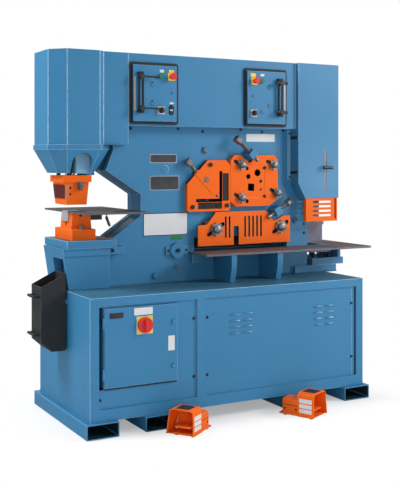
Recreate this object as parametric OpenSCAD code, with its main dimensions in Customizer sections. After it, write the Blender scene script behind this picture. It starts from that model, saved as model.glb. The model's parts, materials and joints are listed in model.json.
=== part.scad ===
// Hydraulic ironworker: punch, angle shear, rod shear, flat bar shear and notcher on one frame.
// Sizes are in millimetres. They are written from the left end of the base (x), from its front (y)
// and from the floor (z). The whole machine is then moved so that the origin is on the floor,
// below the middle of its outline.

/* [Base] */
// Width of the base cabinet, left to right
base_w = 1800; // [1760:10:1900]
// Depth of the base cabinet, front to back
base_d = 798; // [780:2:860]
// Height of the cabinet above its skids
cabinet_h = 654; // [640:2:700]
// Sheet thickness of the cabinet
cabinet_wall = 6; // [4:0.5:9]
// Thickness of the cabinet's front frame
front_t = 10; // [6:1:14]
// Thickness of the deck plate on the cabinet
deck_t = 20; // [14:1:30]
// Height of the skid tubes
skid_h = 81; // [70:1:100]
// Width of one skid tube
skid_w = 186; // [150:2:200]
// Wall of the skid tubes
skid_wall = 6; // [4:0.5:9]
// How far the skids stand past the cabinet at the front and back
skid_over = 24; // [10:1:40]
// How far the outer skids stand past the cabinet's sides
skid_out = 28; // [10:1:40]

/* [Electrical door] */
// Width of the electrical door
door_w = 432; // [400:2:460]
// Height of the electrical door
door_h = 421; // [380:1:440]
// Thickness of the folded door
door_t = 16; // [12:1:22]
// Depth of the electrical box behind the door
box_depth = 190; // [150:5:260]
// Diameter of the power switch dial
dial_d = 86; // [70:1:95]

/* [Frame] */
// Distance from the base's front to the frame's front face
frame_setback = 417; // [410:1:430]
// Thickness of each frame plate
plate_t = 45; // [38:1:50]
// Space between the two frame plates
plate_gap = 102; // [98:1:110]
// Right edge of the frame plates
frame_right = 1677; // [1670:1:1684]
// Height of the frame plates above the deck
frame_h = 1275; // [1260:5:1300]
// Depth of the throat, from the base's left end
throat_x = 486; // [470:2:500]
// Height of the throat's straight wall
throat_wall_h = 125; // [110:1:140]

/* [Punch end] */
// Punch axis, from the base's left end
punch_x = 82; // [76:1:90]
// Height of the bolster's top above the deck
bolster_h = 275; // [265:1:285]
// Thickness of the bolster plate
bolster_t = 45; // [35:1:55]
// Diameter of the punch ram
ram_d = 56; // [50:1:62]
// Stroke of the punch
punch_stroke = 76; // [60:1:80]
// Diameter of the punch
punch_d = 28; // [16:1:32]
// Clearance between the punch and its die, on the diameter
punch_clear = 1.6; // [1:0.1:3]
// Thickness of the punch table
punch_table_t = 10; // [8:0.5:12]

/* [Covers] */
// How far the covers stand above the frame
cover_rise = 70; // [60:1:90]
// Thickness of the cover sheets
sheet_t = 4; // [3:0.5:5]
// Width of the punch hood, front to back
hood_d = 402; // [396:1:410]
// How far the top cover stands in front of the frame
cover_out = 69; // [60:1:74]
// How far the notcher housing stands in front of the frame
housing_out = 92; // [88:1:100]
// Width of the notcher housing
housing_w = 317; // [312:1:330]

/* [Shears] */
// Thickness of the angle and rod shear plates
tool_plate_t = 32; // [26:1:36]
// Thickness of the flat bar guard
guard_t = 14; // [10:1:18]
// Width of the angle shear plate
angle_w = 299; // [294:1:300]
// Height of the angle shear plate
angle_h = 311; // [305:1:316]
// Width of the rod shear plate
rod_w = 347; // [340:1:352]
// Height of the rod shear plate
rod_h = 318; // [312:1:324]
// Width of the flat bar guard
guard_w = 665; // [655:1:672]
// Height of the flat bar guard
guard_h = 204; // [198:1:206]
// Diameter of the four small star knobs
small_knob_d = 66; // [58:1:70]
// Diameter of the two large star knobs
large_knob_d = 85; // [76:1:90]
// Diameter of the beam's pivot pin
pivot_d = 70; // [60:1:76]

/* [Table] */
// Height of the feed table's top above the deck
table_h = 175; // [170:1:178]
// Thickness of the feed table
table_t = 13; // [10:1:16]
// Front edge of the feed table, from the base's front
table_front = 185; // [170:1:210]
// Left end of the feed table
table_left = 803; // [796:1:820]
// Reach of the feed table past the frame's right edge
table_reach = 340; // [320:2:370]

/* [Notcher] */
// Width of the notcher blade
notch_w = 125; // [110:1:128]
// Depth of the notcher blade, front to back
notch_d = 166; // [150:1:172]
// Height of the notcher blade block
notch_h = 97; // [90:1:100]

/* [Controls] */
// Width of the rubber surround of a control box
surround_w = 312; // [300:1:320]
// Height of the rubber surround of a control box
surround_h = 360; // [340:1:370]
// How far a control box stands out of the cover
control_out = 22; // [16:1:28]
// Diameter of the emergency stop's mushroom head
estop_d = 40; // [32:1:44]
// Diameter of the start button
start_d = 26; // [20:1:32]
// Diameter of the selector knob
selector_d = 34; // [28:1:40]

/* [Slug bin] */
// Width of the slug bin, front to back
bin_d = 165; // [150:1:180]
// How far the slug bin stands out from the base
bin_out = 151; // [140:1:170]
// Wall of the slug bin
bin_wall = 3; // [2:0.5:4]

/* [Foot pedals] */
// Length of a foot pedal
pedal_l = 226; // [210:1:236]
// Width of a foot pedal's guard
pedal_w = 165; // [150:1:175]
// Height of a foot pedal's guard
pedal_h = 143; // [134:1:152]
// Turn of the left pedal
pedal_left_turn = 35; // [30:1:40]
// Turn of the right pedal
pedal_right_turn = 116; // [112:1:120]

/* [Hidden] */
$fn = 48;
// Overrun of every cut
over = 2;
// Gap between a moving face and its neighbour
gap = 0.4;
// Radial gap of a shaft in its bore
fit = 0.05;
// Steps in a quarter turn of an arc
arc_steps = 6;

// Main levels
deck_z = skid_h + cabinet_h;
bolster_z = deck_z + bolster_h;
frame_top = deck_z + frame_h;
machine_h = frame_top + cover_rise;
table_z = deck_z + table_h;
front_y = frame_setback;
back_y = front_y + 2 * plate_t + plate_gap;
inner_front = front_y + plate_t;
inner_back = back_y - plate_t;
// Middle plane of the frame
cy = (front_y + back_y) / 2;

// Outline of the machine on the floor
bin_handle_out = 35;
table_over = 30;
punch_table_d = 695;
// Near front corners of the two pedals
pedal_left_at = [482, -246];
pedal_right_at = [1233, -272];
outline_left = -bin_out - bin_handle_out;
table_right = frame_right + table_reach;
outline_right = table_right;
outline_back = max(base_d + table_over, cy + punch_table_d / 2);
function spin(p, a) = [p[0] * cos(a) - p[1] * sin(a), p[0] * sin(a) + p[1] * cos(a)];
pedal_left_low = min([for (y = [0, pedal_w]) pedal_left_at[1] + spin([0, y], pedal_left_turn)[1]]);
pedal_right_low = min([for (y = [0, -pedal_w]) pedal_right_at[1] + spin([0, y], pedal_right_turn)[1]]);
outline_front = min(pedal_left_low, pedal_right_low, -skid_over);
mid_x = (outline_left + outline_right) / 2;
mid_y = (outline_front + outline_back) / 2;

// Colours
blue = [0.25, 0.49, 0.68];
orange = [0.94, 0.41, 0.12];
steel = [0.55, 0.56, 0.58];
black = [0.1, 0.1, 0.11];
cast = [0.62, 0.62, 0.63];

// Shapes that repeat
module machine(c) {
    translate([-mid_x, -mid_y, 0]) color(c) children();
}
module slab(x0, x1, y0, y1, z0, z1) {
    translate([x0, y0, z0]) cube([x1 - x0, y1 - y0, z1 - z0]);
}
module block(x, z, w, h, y0, y1) {
    slab(x - w / 2, x + w / 2, y0, y1, z - h / 2, z + h / 2);
}
module upright(points, y0, y1) {
    translate([0, y1, 0]) rotate([90, 0, 0]) linear_extrude(y1 - y0) polygon(points);
}
module level(points, z0, z1) {
    translate([0, 0, z0]) linear_extrude(z1 - z0) polygon(points);
}
module rod_x(y, z, x0, x1, d) {
    translate([x0, y, z]) rotate([0, 90, 0]) cylinder(h = x1 - x0, d = d);
}
module rod_y(x, z, y0, y1, d) {
    translate([x, y0, z]) rotate([-90, 0, 0]) cylinder(h = y1 - y0, d = d);
}
module rod_z(x, y, z0, z1, d) {
    translate([x, y, z0]) cylinder(h = z1 - z0, d = d);
}
function arc(c, r, a) = [for (i = [0 : arc_steps]) c + r * [cos(a + i * 90 / arc_steps),
    sin(a + i * 90 / arc_steps)]];
function round_rect(x0, x1, z0, z1, r) = concat(arc([x1 - r, z1 - r], r, 0), arc([x0 + r, z1 - r], r, 90),
    arc([x0 + r, z0 + r], r, 180), arc([x1 - r, z0 + r], r, 270));
function on_plate(shares, x, z, w, h) = [for (s = shares) [x + s[0] * w, z + s[1] * h]];
module slot_y(x, z, turn, length, width, y0, y1) {
    translate([x, 0, z]) rotate([0, -turn, 0]) {
        block(0, 0, length - width, width, y0, y1);
        for (side = [-1, 1]) rod_y(side * (length - width) / 2, 0, y0, y1, width);
    }
}

// Base
skid_x_shares = [0, 0.2036, 0.7503, 1];
skid_span = base_w + 2 * skid_out - skid_w;
post_w = 52;
mullion_w = 55;
mullion_x = 665;
sill_h = 64;
head_h = 47;
sill_z = skid_h + sill_h;
head_z = deck_z - head_h;
left_bay = [post_w, mullion_x - mullion_w / 2];
right_bay = [mullion_x + mullion_w / 2, base_w - post_w];
panel_lap = 10;
panel_t = 3;
panel_back = front_t + panel_t;
bin_rail_t = 9;
bin_rail_h = 24;
bin_rail_z = deck_z - 2 * bin_rail_h;
bin_front_share = 1.07;
bin_front = cy - bin_front_share * bin_d;

module skid_tubes() {
    machine(blue) for (share = skid_x_shares) {
        x = -skid_out + share * skid_span;
        difference() {
            slab(x, x + skid_w, -skid_over, base_d + skid_over, 0, skid_h);
            slab(x + skid_wall, x + skid_w - skid_wall, -skid_over - over, base_d + skid_over + over,
                skid_wall, skid_h - skid_wall);
        }
    }
}

module base_cabinet() {
    machine(blue) {
        difference() {
            slab(0, base_w, 0, base_d, skid_h, deck_z);
            slab(cabinet_wall, base_w - cabinet_wall, front_t, base_d + over,
                skid_h + cabinet_wall, deck_z - deck_t);
            for (bay = [left_bay, right_bay]) slab(bay[0], bay[1], -over, front_t + over, sill_z, head_z);
        }
        slab(-bin_rail_t, 0, bin_front, bin_front + bin_d, bin_rail_z - bin_rail_h, bin_rail_z);
    }
}

// Electrical box, its door and the parts on the door
door_x = 80;
door_rise = 173;
door_z = skid_h + door_rise;
door_proud = 4;
door_y = -door_proud;
box_y = door_y + door_t;
door_gap = 7;
box_wall = 2.5;
lip_w = 14;
hinge_pin_d = 6;
hinge_d = 11;
hinge_h = 20;
hinge_x = door_x - hinge_d / 2;
hinge_y = door_y + hinge_d / 10;
hinge_shares = [0.18, 0.82];
leaf_depth = 40;
latch_d = 24;
latch_shaft_d = 12;
latch_head_t = 7;
latch_inset = 24;
latch_shares = [0.77, 0.2];
latch_tongue_l = 15;
latch_tongue_t = 5;
dial_shares = [0.54, 0.76];
dial_x = door_x + door_w * dial_shares[0];
dial_z = door_z + door_h * dial_shares[1];
dial_plate_w = 96;
dial_plate_t = 3;
dial_t = 30;
dial_grip_t = 14;
dial_shaft_d = 16;
louvre_l = 70;
louvre_h = 8;
louvre_pitch = 36;
louvre_count = 4;
louvre_x_shares = [0.184, 0.266, 0.738, 0.818];
louvre_drop = 152;
louvre_top = deck_z - louvre_drop;
flange_t = 3;
box_front = panel_back + flange_t + gap;

module panel(bay) {
    slab(bay[0] - panel_lap, bay[1] + panel_lap, front_t, panel_back, sill_z - panel_lap,
        head_z + panel_lap);
}

module base_panels() {
    machine(blue) {
        difference() {
            panel(left_bay);
            slab(left_bay[0], door_x + door_w + door_gap, 0, panel_back + over,
                door_z - door_gap, door_z + door_h + door_gap);
        }
        difference() {
            panel(right_bay);
            for (share = louvre_x_shares, i = [0 : louvre_count - 1]) {
                x = right_bay[0] + share * (right_bay[1] - right_bay[0]);
                z = louvre_top - i * louvre_pitch;
                block(x, z, louvre_l, louvre_h, 0, panel_back + over);
            }
        }
        slab(cabinet_wall, base_w - cabinet_wall, base_d - cabinet_wall, base_d,
            skid_h + cabinet_wall, deck_z - deck_t);
    }
}

module electrical_enclosure() {
    machine(blue) {
        difference() {
            slab(door_x + gap, door_x + door_w + door_gap + lip_w, panel_back, box_front - gap,
                door_z - door_gap - lip_w, door_z + door_h + door_gap + lip_w);
            slab(door_x + lip_w, door_x + door_w - lip_w, 0, box_front,
                door_z + lip_w, door_z + door_h - lip_w);
        }
        difference() {
            slab(door_x, door_x + door_w, box_front, box_y + box_depth, door_z, door_z + door_h);
            slab(door_x + box_wall, door_x + door_w - box_wall, 0, box_y + box_depth - box_wall,
                door_z + box_wall, door_z + door_h - box_wall);
        }
        for (share = hinge_shares) hinge_bracket(door_z + share * door_h);
        gear();
    }
}

// Fixed half of a door hinge, with its pin
module hinge_bracket(z) {
    slab(hinge_x + hinge_pin_d / 2, door_x, hinge_y + hinge_d / 2 + gap, box_y + leaf_depth,
        z - 1.5 * hinge_h, z + 1.5 * hinge_h);
    for (end = [-1, 1]) {
        low = end < 0 ? z - 1.5 * hinge_h : z + hinge_h / 2;
        rod_z(hinge_x, hinge_y, low, low + hinge_h, hinge_d);
        slab(hinge_x, door_x - gap, hinge_y, hinge_y + hinge_d, low, low + hinge_h);
    }
    rod_z(hinge_x, hinge_y, z - hinge_h, z + hinge_h, hinge_pin_d);
}

// Contactors on the back of the electrical box
gear_w = 70;
gear_h = 90;
gear_t = 60;
gear_x_shares = [0.25, 0.5, 0.75];
gear_z_share = 0.55;
module gear() {
    for (share = gear_x_shares) {
        x = door_x + share * door_w;
        z = door_z + gear_z_share * door_h;
        back = box_y + box_depth - box_wall;
        block(x, z, gear_w, gear_h, back - gear_t, back);
    }
}

module enclosure_door() {
    machine(blue) {
        difference() {
            union() {
                slab(door_x + gap, door_x + door_w, door_y, box_y, door_z, door_z + door_h);
                for (share = hinge_shares) hinge_knuckle(door_z + share * door_h);
            }
            slab(door_x + box_wall + gap, door_x + door_w - box_wall, door_y + box_wall, box_y + over,
                door_z + box_wall, door_z + door_h - box_wall);
            for (share = hinge_shares) {
                z = door_z + share * door_h;
                rod_z(hinge_x, hinge_y, z - hinge_h, z + hinge_h, hinge_pin_d + 2 * fit);
            }
            rod_y(dial_x, dial_z, door_y - over, box_y, dial_shaft_d + 2 * fit);
            for (share = latch_shares) {
                rod_y(door_x + door_w - latch_inset, door_z + share * door_h, door_y - over, box_y,
                    latch_shaft_d + 2 * fit);
            }
        }
        difference() {
            block(dial_x, dial_z, dial_plate_w, dial_plate_w, door_y - dial_plate_t, door_y);
            rod_y(dial_x, dial_z, door_y - dial_plate_t - over, box_y, dial_shaft_d + 2 * gap);
        }
    }
}

// Moving half of a door hinge
module hinge_knuckle(z) {
    rod_z(hinge_x, hinge_y, z - hinge_h / 2 + gap, z + hinge_h / 2 - gap, hinge_d);
    slab(hinge_x, door_x + box_wall, door_y, door_y + box_wall, z - hinge_h / 2 + gap,
        z + hinge_h / 2 - gap);
}

module disconnect_dial() {
    front = door_y - dial_plate_t - gap;
    machine("red") {
        rod_y(dial_x, dial_z, front - dial_t / 2, front, dial_d);
        block(dial_x, dial_z, dial_grip_t, dial_d - 2 * dial_grip_t, front - dial_t, front - dial_t / 2);
        rod_y(dial_x, dial_z, front, box_y, dial_shaft_d);
    }
}

module door_latch(share) {
    x = door_x + door_w - latch_inset;
    z = door_z + share * door_h;
    back = box_front;
    machine(black) {
        difference() {
            rod_y(x, z, door_y - latch_head_t - gap, door_y - gap, latch_d);
            block(x, z, latch_d, latch_d / 5, door_y - latch_head_t - over, door_y - latch_head_t / 2);
        }
        rod_y(x, z, door_y - gap, back + latch_tongue_t, latch_shaft_d);
        slab(x - latch_shaft_d / 2, x + latch_shaft_d / 2, back, back + latch_tongue_t, z,
            z + latch_tongue_l);
    }
}

// Hydraulic power unit in the base
tank_x = [760, 1240];
tank_y = [250, 690];
tank_h = 320;
tank_wall = 4;
motor_d = 210;
motor_x = [1370, 1640];
motor_y = 470;
motor_foot_h = 60;
pump_d = 120;
pump_l = 110;
manifold_w = 150;
manifold_h = 90;
module power_unit() {
    floor_z = skid_h + cabinet_wall;
    motor_z = floor_z + motor_foot_h + motor_d / 2;
    machine(steel) {
        difference() {
            slab(tank_x[0], tank_x[1], tank_y[0], tank_y[1], floor_z, floor_z + tank_h);
            slab(tank_x[0] + tank_wall, tank_x[1] - tank_wall, tank_y[0] + tank_wall, tank_y[1] - tank_wall,
                floor_z + tank_wall, floor_z + tank_h - tank_wall);
        }
        rod_x(motor_y, motor_z, motor_x[0], motor_x[1], motor_d);
        slab(motor_x[0], motor_x[1], motor_y - motor_d / 4, motor_y + motor_d / 4, floor_z, motor_z);
        rod_x(motor_y, motor_z, motor_x[0] - pump_l, motor_x[0], pump_d);
        slab(tank_x[0] + manifold_w, tank_x[0] + 2 * manifold_w, motor_y - manifold_w / 2,
            motor_y + manifold_w / 2, floor_z + tank_h, floor_z + tank_h + manifold_h);
    }
}

// Frame outline, seen from the front
frame_left = 46;
notch_x = 292;
throat_foot_x = 305;
throat_low_rise = 124;
throat_low_z = bolster_z + throat_low_rise;
throat_high_z = throat_low_z + throat_wall_h;
throat_lip_x = 265;
throat_lip_rise = 392;
throat_lip = [throat_lip_x, bolster_z + throat_lip_rise];
arm_x = 310;
arm_rise = 118;
arm_z = throat_lip[1] + arm_rise;
head_x = 205;
shoulder_h = 40;
shoulder_z = arm_z + shoulder_h;
bolster_under = bolster_z - bolster_t;
throat_points = [[throat_foot_x, bolster_z], [throat_x, throat_low_z], [throat_x, throat_high_z],
    throat_lip];
frame_points = concat(
    [[frame_left, deck_z], [frame_left, bolster_under], [notch_x, bolster_under], [notch_x, bolster_z]],
    throat_points, [[arm_x, arm_z], [arm_x, shoulder_z], [head_x, shoulder_z], [head_x, frame_top],
    [frame_right, frame_top], [frame_right, deck_z]]);

// Shear tools on the front of the frame
angle_x = 779;
angle_rise = 416;
angle_z = deck_z + angle_rise;
rod_x0 = 1081;
rod_rise = 440;
rod_z0 = deck_z + rod_rise;
guard_x = 848;
bar_gap = 31;
guard_z = table_z + bar_gap;
pivot_x = 723;
pivot_rise = 187;
pivot_z = deck_z + pivot_rise;

// Angle slot of the angle shear
angle_slot_w = 20;
angle_slot_shares = [0.81, 0.18];
angle_leg_shares = [0.2, 0.785];
angle_slot_x = angle_x + angle_w * angle_slot_shares[0];
angle_slot_z = angle_z + angle_h * angle_slot_shares[1];
angle_leg_x = angle_x + angle_w * angle_leg_shares[0];
angle_leg_z = angle_z + angle_h * angle_leg_shares[1];
window_margin = 6;

// Holes of the rod shear, as shares of its plate: place across, place up, diameter
rod_hole_shares = [[0.568, 0.654, 0.127], [0.375, 0.582, 0.089], [0.637, 0.487, 0.058], [0.637, 0.324,
    0.035]];
square_hole_shares = [0.432, 0.371, 0.133];
rod_insert_shares = [0.326, 0.723, 0.167, 0.755];
square_turn = 5;

// Studs of the star knobs
knob_stud_d = 16;
knob_seat = 22;
rod_slot_turn = -27;
rod_slot_l = 120;
rod_slot_w = 22;
rod_stud_shares = [[0.22, 0.807], [0.902, 0.807], [0.22, 0.164], [0.977, 0.245]];
guard_slot_turn = 31;
guard_slot_l = 140;
guard_slot_w = 24;
guard_stud_shares = [[0.182, 0.49], [0.889, 0.49]];
rod_studs = on_plate(rod_stud_shares, rod_x0, rod_z0, rod_w, rod_h);
guard_studs = on_plate(guard_stud_shares, guard_x, guard_z, guard_w, guard_h);

// Cuts through one plate. The back plate has no blade seats.
module frame_cuts(seats) {
    y0 = front_y - over;
    y1 = back_y + over;
    bar_floor = seats ? table_z - table_t : table_z;
    angle_floor = seats ? angle_z + window_margin : angle_slot_z - gap;
    angle_side = seats ? angle_x + angle_w - window_margin : angle_slot_x + gap;
    slab(guard_x - window_margin, guard_x + guard_w + window_margin, y0, y1, bar_floor,
        guard_z + guard_h / 4);
    slab(angle_leg_x - window_margin, angle_side, y0, y1, angle_floor, angle_leg_z);
    slab(rod_x0 + rod_insert_shares[0] * rod_w, rod_x0 + rod_insert_shares[1] * rod_w, y0, y1,
        rod_z0 + rod_insert_shares[2] * rod_h, rod_z0 + rod_insert_shares[3] * rod_h);
    rod_y(pivot_x, pivot_z, y0, y1, pivot_d);
    for (p = concat(rod_studs, guard_studs)) {
        rod_y(p[0], p[1], y0, front_y + knob_seat + over, knob_stud_d + 2 * fit);
    }
}

liner_inset = 12;
liner_t = 26;
web_w = 70;
web_x = 540;
top_web_h = 60;
chute_t = 8;
chute_rise = 96;
foot_web_h = 80;
guide_t = 12;
guide_h = 240;

module main_frame() {
    machine(blue) {
        difference() {
            upright(frame_points, front_y, inner_front);
            frame_cuts(true);
        }
        difference() {
            upright(frame_points, inner_back, back_y);
            frame_cuts(false);
        }
        webs();
    }
}

// Spacers between the plates, throat liner, slug chute, notcher guide
module webs() {
    inner = [for (p = throat_points) p + [liner_inset, 0]];
    outer = [for (i = [len(throat_points) - 1 : -1 : 0]) throat_points[i] + [liner_inset + liner_t, 0]];
    upright(concat(inner, outer), inner_front, inner_back);
    slab(web_x, web_x + web_w, inner_front, inner_back, deck_z + foot_web_h, frame_top - top_web_h);
    slab(arm_x + liner_t, frame_right - web_w, inner_front, inner_back, frame_top - top_web_h, frame_top);
    slab(notch_x, web_x + web_w, inner_front, inner_back, deck_z, deck_z + foot_web_h);
    slab(frame_right - web_w, frame_right, inner_front, inner_back, deck_z, deck_z + foot_web_h);
    upright([[frame_left, deck_z + chute_rise], [notch_x, deck_z + 2 * chute_rise],
        [notch_x, deck_z + 2 * chute_rise - chute_t], [frame_left, deck_z + chute_rise - chute_t]],
        inner_front, inner_back);
    slab(frame_right, frame_right + guide_t, front_y, back_y, ram_block_z[1] - guide_h, ram_block_z[1]);
}

// Punch support, a welded box under the bolster
support_out = 66;
support_top_x = -22;
support_foot_x = 14;
support_right = 261;
lip_out = 14;
lip_h = 40;
slug_out = [138, 27];
slug_rise = [70, 172];
slug_y = [cy - slug_out[0], cy + slug_out[1]];
slug_z = [deck_z + slug_rise[0], deck_z + slug_rise[1]];
stop_x = [267, 352];
stop_h = 42;
stop_notch = 22;
module punch_support() {
    front = front_y - support_out;
    back = back_y + support_out;
    cheek = [[support_top_x, bolster_under], [support_foot_x, deck_z], [support_right, deck_z],
        [support_right, bolster_under]];
    web = [[support_top_x, bolster_under], [support_foot_x, deck_z], [frame_left, deck_z],
        [frame_left, bolster_under]];
    machine(blue) {
        difference() {
            union() {
                upright(cheek, front, front_y);
                upright(cheek, back_y, back);
                upright(web, front, back);
            }
            slab(support_top_x - over, frame_left + over, slug_y[0], slug_y[1], slug_z[0], slug_z[1]);
        }
        slab(support_top_x, support_right, front - lip_out, front, bolster_under - lip_h, bolster_under);
        difference() {
            slab(stop_x[0], stop_x[1], front, front_y, bolster_under - stop_h, bolster_under);
            slab(stop_x[0] - over, stop_x[0] + stop_notch, front - over, front_y - stop_notch,
                bolster_under - stop_h + stop_notch / 2, bolster_under - stop_notch / 2);
        }
    }
}

bolster_x = [-4, 292];
bolster_d = 382;
bolster_y = [cy - bolster_d / 2, cy + bolster_d / 2];
slug_hole_d = 60;
module bolster_plate() {
    machine(blue) difference() {
        slab(bolster_x[0], bolster_x[1], bolster_y[0], bolster_y[1], bolster_under, bolster_z);
        rod_z(punch_x, cy, bolster_under - over, bolster_z + over, slug_hole_d);
    }
}

// Die holder, die and punch table
holder_x = [42, 184];
holder_d = 282;
holder_flange_h = 60;
holder_body_x = [56, 180];
holder_body_d = 176;
holder_taper = 8;
die_d = 92;
die_x = [50, 126];
die_h = 60;
die_rise = 162;
die_top = bolster_z + die_rise;
holder_top = die_top - punch_table_t;
holder_hole_d = 50;
module die_holder() {
    front = cy - holder_d / 2;
    back = cy + holder_d / 2;
    body = [[holder_body_x[0], bolster_z + holder_flange_h], [holder_body_x[1],
        bolster_z + holder_flange_h],
        [holder_body_x[1] - holder_taper, holder_top], [holder_body_x[0] + holder_taper, holder_top]];
    machine(orange) difference() {
        union() {
            slab(holder_x[0], holder_x[1], front, back, bolster_z, bolster_z + holder_flange_h);
            upright(body, cy - holder_body_d / 2, cy + holder_body_d / 2);
        }
        die_block();
        rod_z(punch_x, cy, bolster_z - over, die_top, holder_hole_d);
    }
}
module die_block() {
    slab(die_x[0], die_x[1], cy - die_d / 2, cy + die_d / 2, die_top - die_h, die_top);
}
module die() {
    machine(steel) difference() {
        die_block();
        rod_z(punch_x, cy, die_top - die_h - over, die_top + over, punch_d + punch_clear);
    }
}

punch_table_x = [50, 425];
punch_table_y = [cy - punch_table_d / 2, cy + punch_table_d / 2];
table_bracket_w = 82;
table_bracket_x = [holder_body_x[1], holder_body_x[1] + table_bracket_w];
table_bracket_h = 46;
table_cut = 3;
module punch_table() {
    machine(steel) {
        difference() {
            slab(punch_table_x[0], punch_table_x[1], punch_table_y[0], punch_table_y[1], holder_top,
                die_top);
            slab(punch_table_x[0] - over, die_x[1] + table_cut, cy - die_d / 2 - table_cut,
                cy + die_d / 2 + table_cut, holder_top - over, die_top + over);
        }
        slab(table_bracket_x[0], table_bracket_x[1], cy - die_d / 2, cy + die_d / 2,
            holder_top - table_bracket_h, holder_top);
    }
}

// Stripper round the punch
strip_x = [1, 172];
strip_d = 220;
strip_rise = 198;
strip_body_h = 129;
strip_flange_t = 38;
strip_z = bolster_z + strip_rise;
strip_top = [strip_z + strip_body_h, strip_z + strip_body_h + strip_flange_t];
strip_body_x = [12, 162];
strip_foot_x = [27, 148];
strip_body_d = 188;
strip_wall = 14;
strip_hole_d = 44;
nut_d = 76;
window_rise = 44;
window_h = 64;
window_z = [strip_z + window_rise, strip_z + window_rise + window_h];
window_reach = 58;
window_back = cy + window_reach;
window_t = 3;
window_lip = 5;
window_x = 60;
post_d = 24;
column_d = 100;
column_x = 178;
module stripper() {
    front = cy - strip_body_d / 2;
    back = cy + strip_body_d / 2;
    body = [[strip_foot_x[0], strip_z], [strip_foot_x[1], strip_z], [strip_body_x[1], strip_top[0]],
        [strip_body_x[0], strip_top[0]]];
    machine([0.5, 0.1, 0.08]) stripper_window();
    machine(orange) difference() {
        union() {
            upright(body, front, back);
            slab(strip_x[0], strip_x[1], cy - strip_d / 2, cy + strip_d / 2, strip_top[0], strip_top[1]);
        }
        slab(strip_foot_x[0] + strip_wall, strip_foot_x[1] - strip_wall, front + strip_wall,
            back - strip_wall, strip_z + strip_wall, strip_top[0]);
        rod_z(punch_x, cy, strip_z - over, strip_z + 2 * strip_wall, strip_hole_d);
        rod_z(punch_x, cy, strip_top[0] - over, strip_top[1] + over, nut_d + 2 * strip_wall);
        slab(strip_body_x[0], strip_foot_x[0] + strip_wall + over, front - over, window_back,
            window_z[0], window_z[1]);
        slab(strip_body_x[0], window_x, front - over, front + strip_wall + over, window_z[0], window_z[1]);
    }
}

// Clear guard in the stripper's corner window
module stripper_window() {
    front = cy - strip_body_d / 2;
    left = strip_foot_x[0] - window_lip;
    slab(left, left + window_t, front, window_back, window_z[0], window_z[1]);
    slab(left, window_x, front, front + window_t, window_z[0], window_z[1]);
}

// Punch cylinder with its tongue between the frame plates, and the punch ram
barrel_d = 190;
barrel_z = [shoulder_z, frame_top - top_web_h];
barrel_wall = 30;
tongue_x = 330;
gland_h = 60;
piston_h = 60;
piston_z = barrel_z[1] - barrel_wall - piston_h - over;
nut_rise = 112;
nut_h = 48;
nut_z = [strip_z + nut_rise, strip_z + nut_rise + nut_h];
die_entry = 16;
punch_tip_z = die_top + punch_stroke - die_entry;
module hydraulic_cylinders() {
    punch_cylinder();
    shear_cylinder();
}
module punch_cylinder() {
    bore_d = barrel_d - 2 * barrel_wall;
    machine(blue) {
        difference() {
            union() {
                rod_z(punch_x, cy, barrel_z[0], barrel_z[1], barrel_d);
                slab(punch_x, tongue_x, inner_front, inner_back, barrel_z[0] + gland_h, barrel_z[1]);
            }
            rod_z(punch_x, cy, barrel_z[0] + gland_h, barrel_z[1] - barrel_wall, bore_d);
            rod_z(punch_x, cy, barrel_z[0] - over, barrel_z[0] + gland_h + over, ram_d + 2 * fit);
        }
        rod_z(column_x, cy, strip_top[1], barrel_z[0], column_d);
    }
}
module punch_ram() {
    bore_d = barrel_d - 2 * barrel_wall;
    machine(steel) {
        rod_z(punch_x, cy, nut_z[1], piston_z, ram_d);
        rod_z(punch_x, cy, piston_z, piston_z + piston_h, bore_d - 2 * gap);
        rod_z(punch_x, cy, nut_z[0], nut_z[1], nut_d);
        rod_z(punch_x, cy, punch_tip_z, nut_z[0], punch_d);
    }
}

// Hood, skirt and covers
hood_left = -92;
hood_chamfer = 83;
hood_front_x = 187;
hood_step = 33;
hood_right = 376;
band_out = 5;
band_h = 28;
hood_z = arm_z + band_h;
hood_y = [cy - hood_d / 2, cy + hood_d / 2];
cover_y = front_y - cover_out;
cover_back = back_y + cover_out;
// Outline of the hood at a depth t in its sheet. A corner moves along a wall at its 45 degree bend.
function hood_line(t) = let (bend = t * tan(45 / 2), y0 = hood_y[0] + t, y1 = hood_y[1] - t) [
    [hood_left + t, y0 + hood_chamfer + bend - t], [hood_left + hood_chamfer + bend, y0],
    [hood_front_x - bend, y0], [hood_front_x + hood_step - bend, y0 + hood_step],
    [hood_right + t, y0 + hood_step], [hood_right + t, y1 - hood_step],
    [hood_front_x + hood_step - bend, y1 - hood_step], [hood_front_x - bend, y1],
    [hood_left + hood_chamfer + bend, y1], [hood_left + t, y1 - hood_chamfer - bend + t]];
module hood() {
    machine(blue) difference() {
        level(hood_line(0), hood_z, machine_h);
        level(hood_line(sheet_t), hood_z - over, machine_h - sheet_t);
    }
}

skirt_foot_x = [-25, 199];
skirt_foot_d = 256;
skirt_clear = 13;
skirt_foot_z = strip_top[1] + skirt_clear;
skirt_right = 270;
skirt_foot_chamfer = 44;
arch_x = [34, 152];
arch_drop = 16;
arch_top = arm_z - arch_drop;
function octagon(x, y, c) = [[x[0], y[0] + c], [x[0] + c, y[0]], [x[1] - c, y[0]], [x[1], y[0] + c],
    [x[1], y[1] - c], [x[1] - c, y[1]], [x[0] + c, y[1]], [x[0], y[1] - c]];
function grow(pair, by) = [pair[0] - by, pair[1] + by];
module hopper(by) {
    foot_y = [cy - skirt_foot_d / 2, cy + skirt_foot_d / 2];
    hull() {
        level(octagon(grow(skirt_foot_x, by), grow(foot_y, by), skirt_foot_chamfer), skirt_foot_z,
            skirt_foot_z + sheet_t);
        level(octagon(grow([hood_left, skirt_right], by), grow(hood_y, by), hood_chamfer),
            arm_z - sheet_t, arm_z);
    }
}
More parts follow.
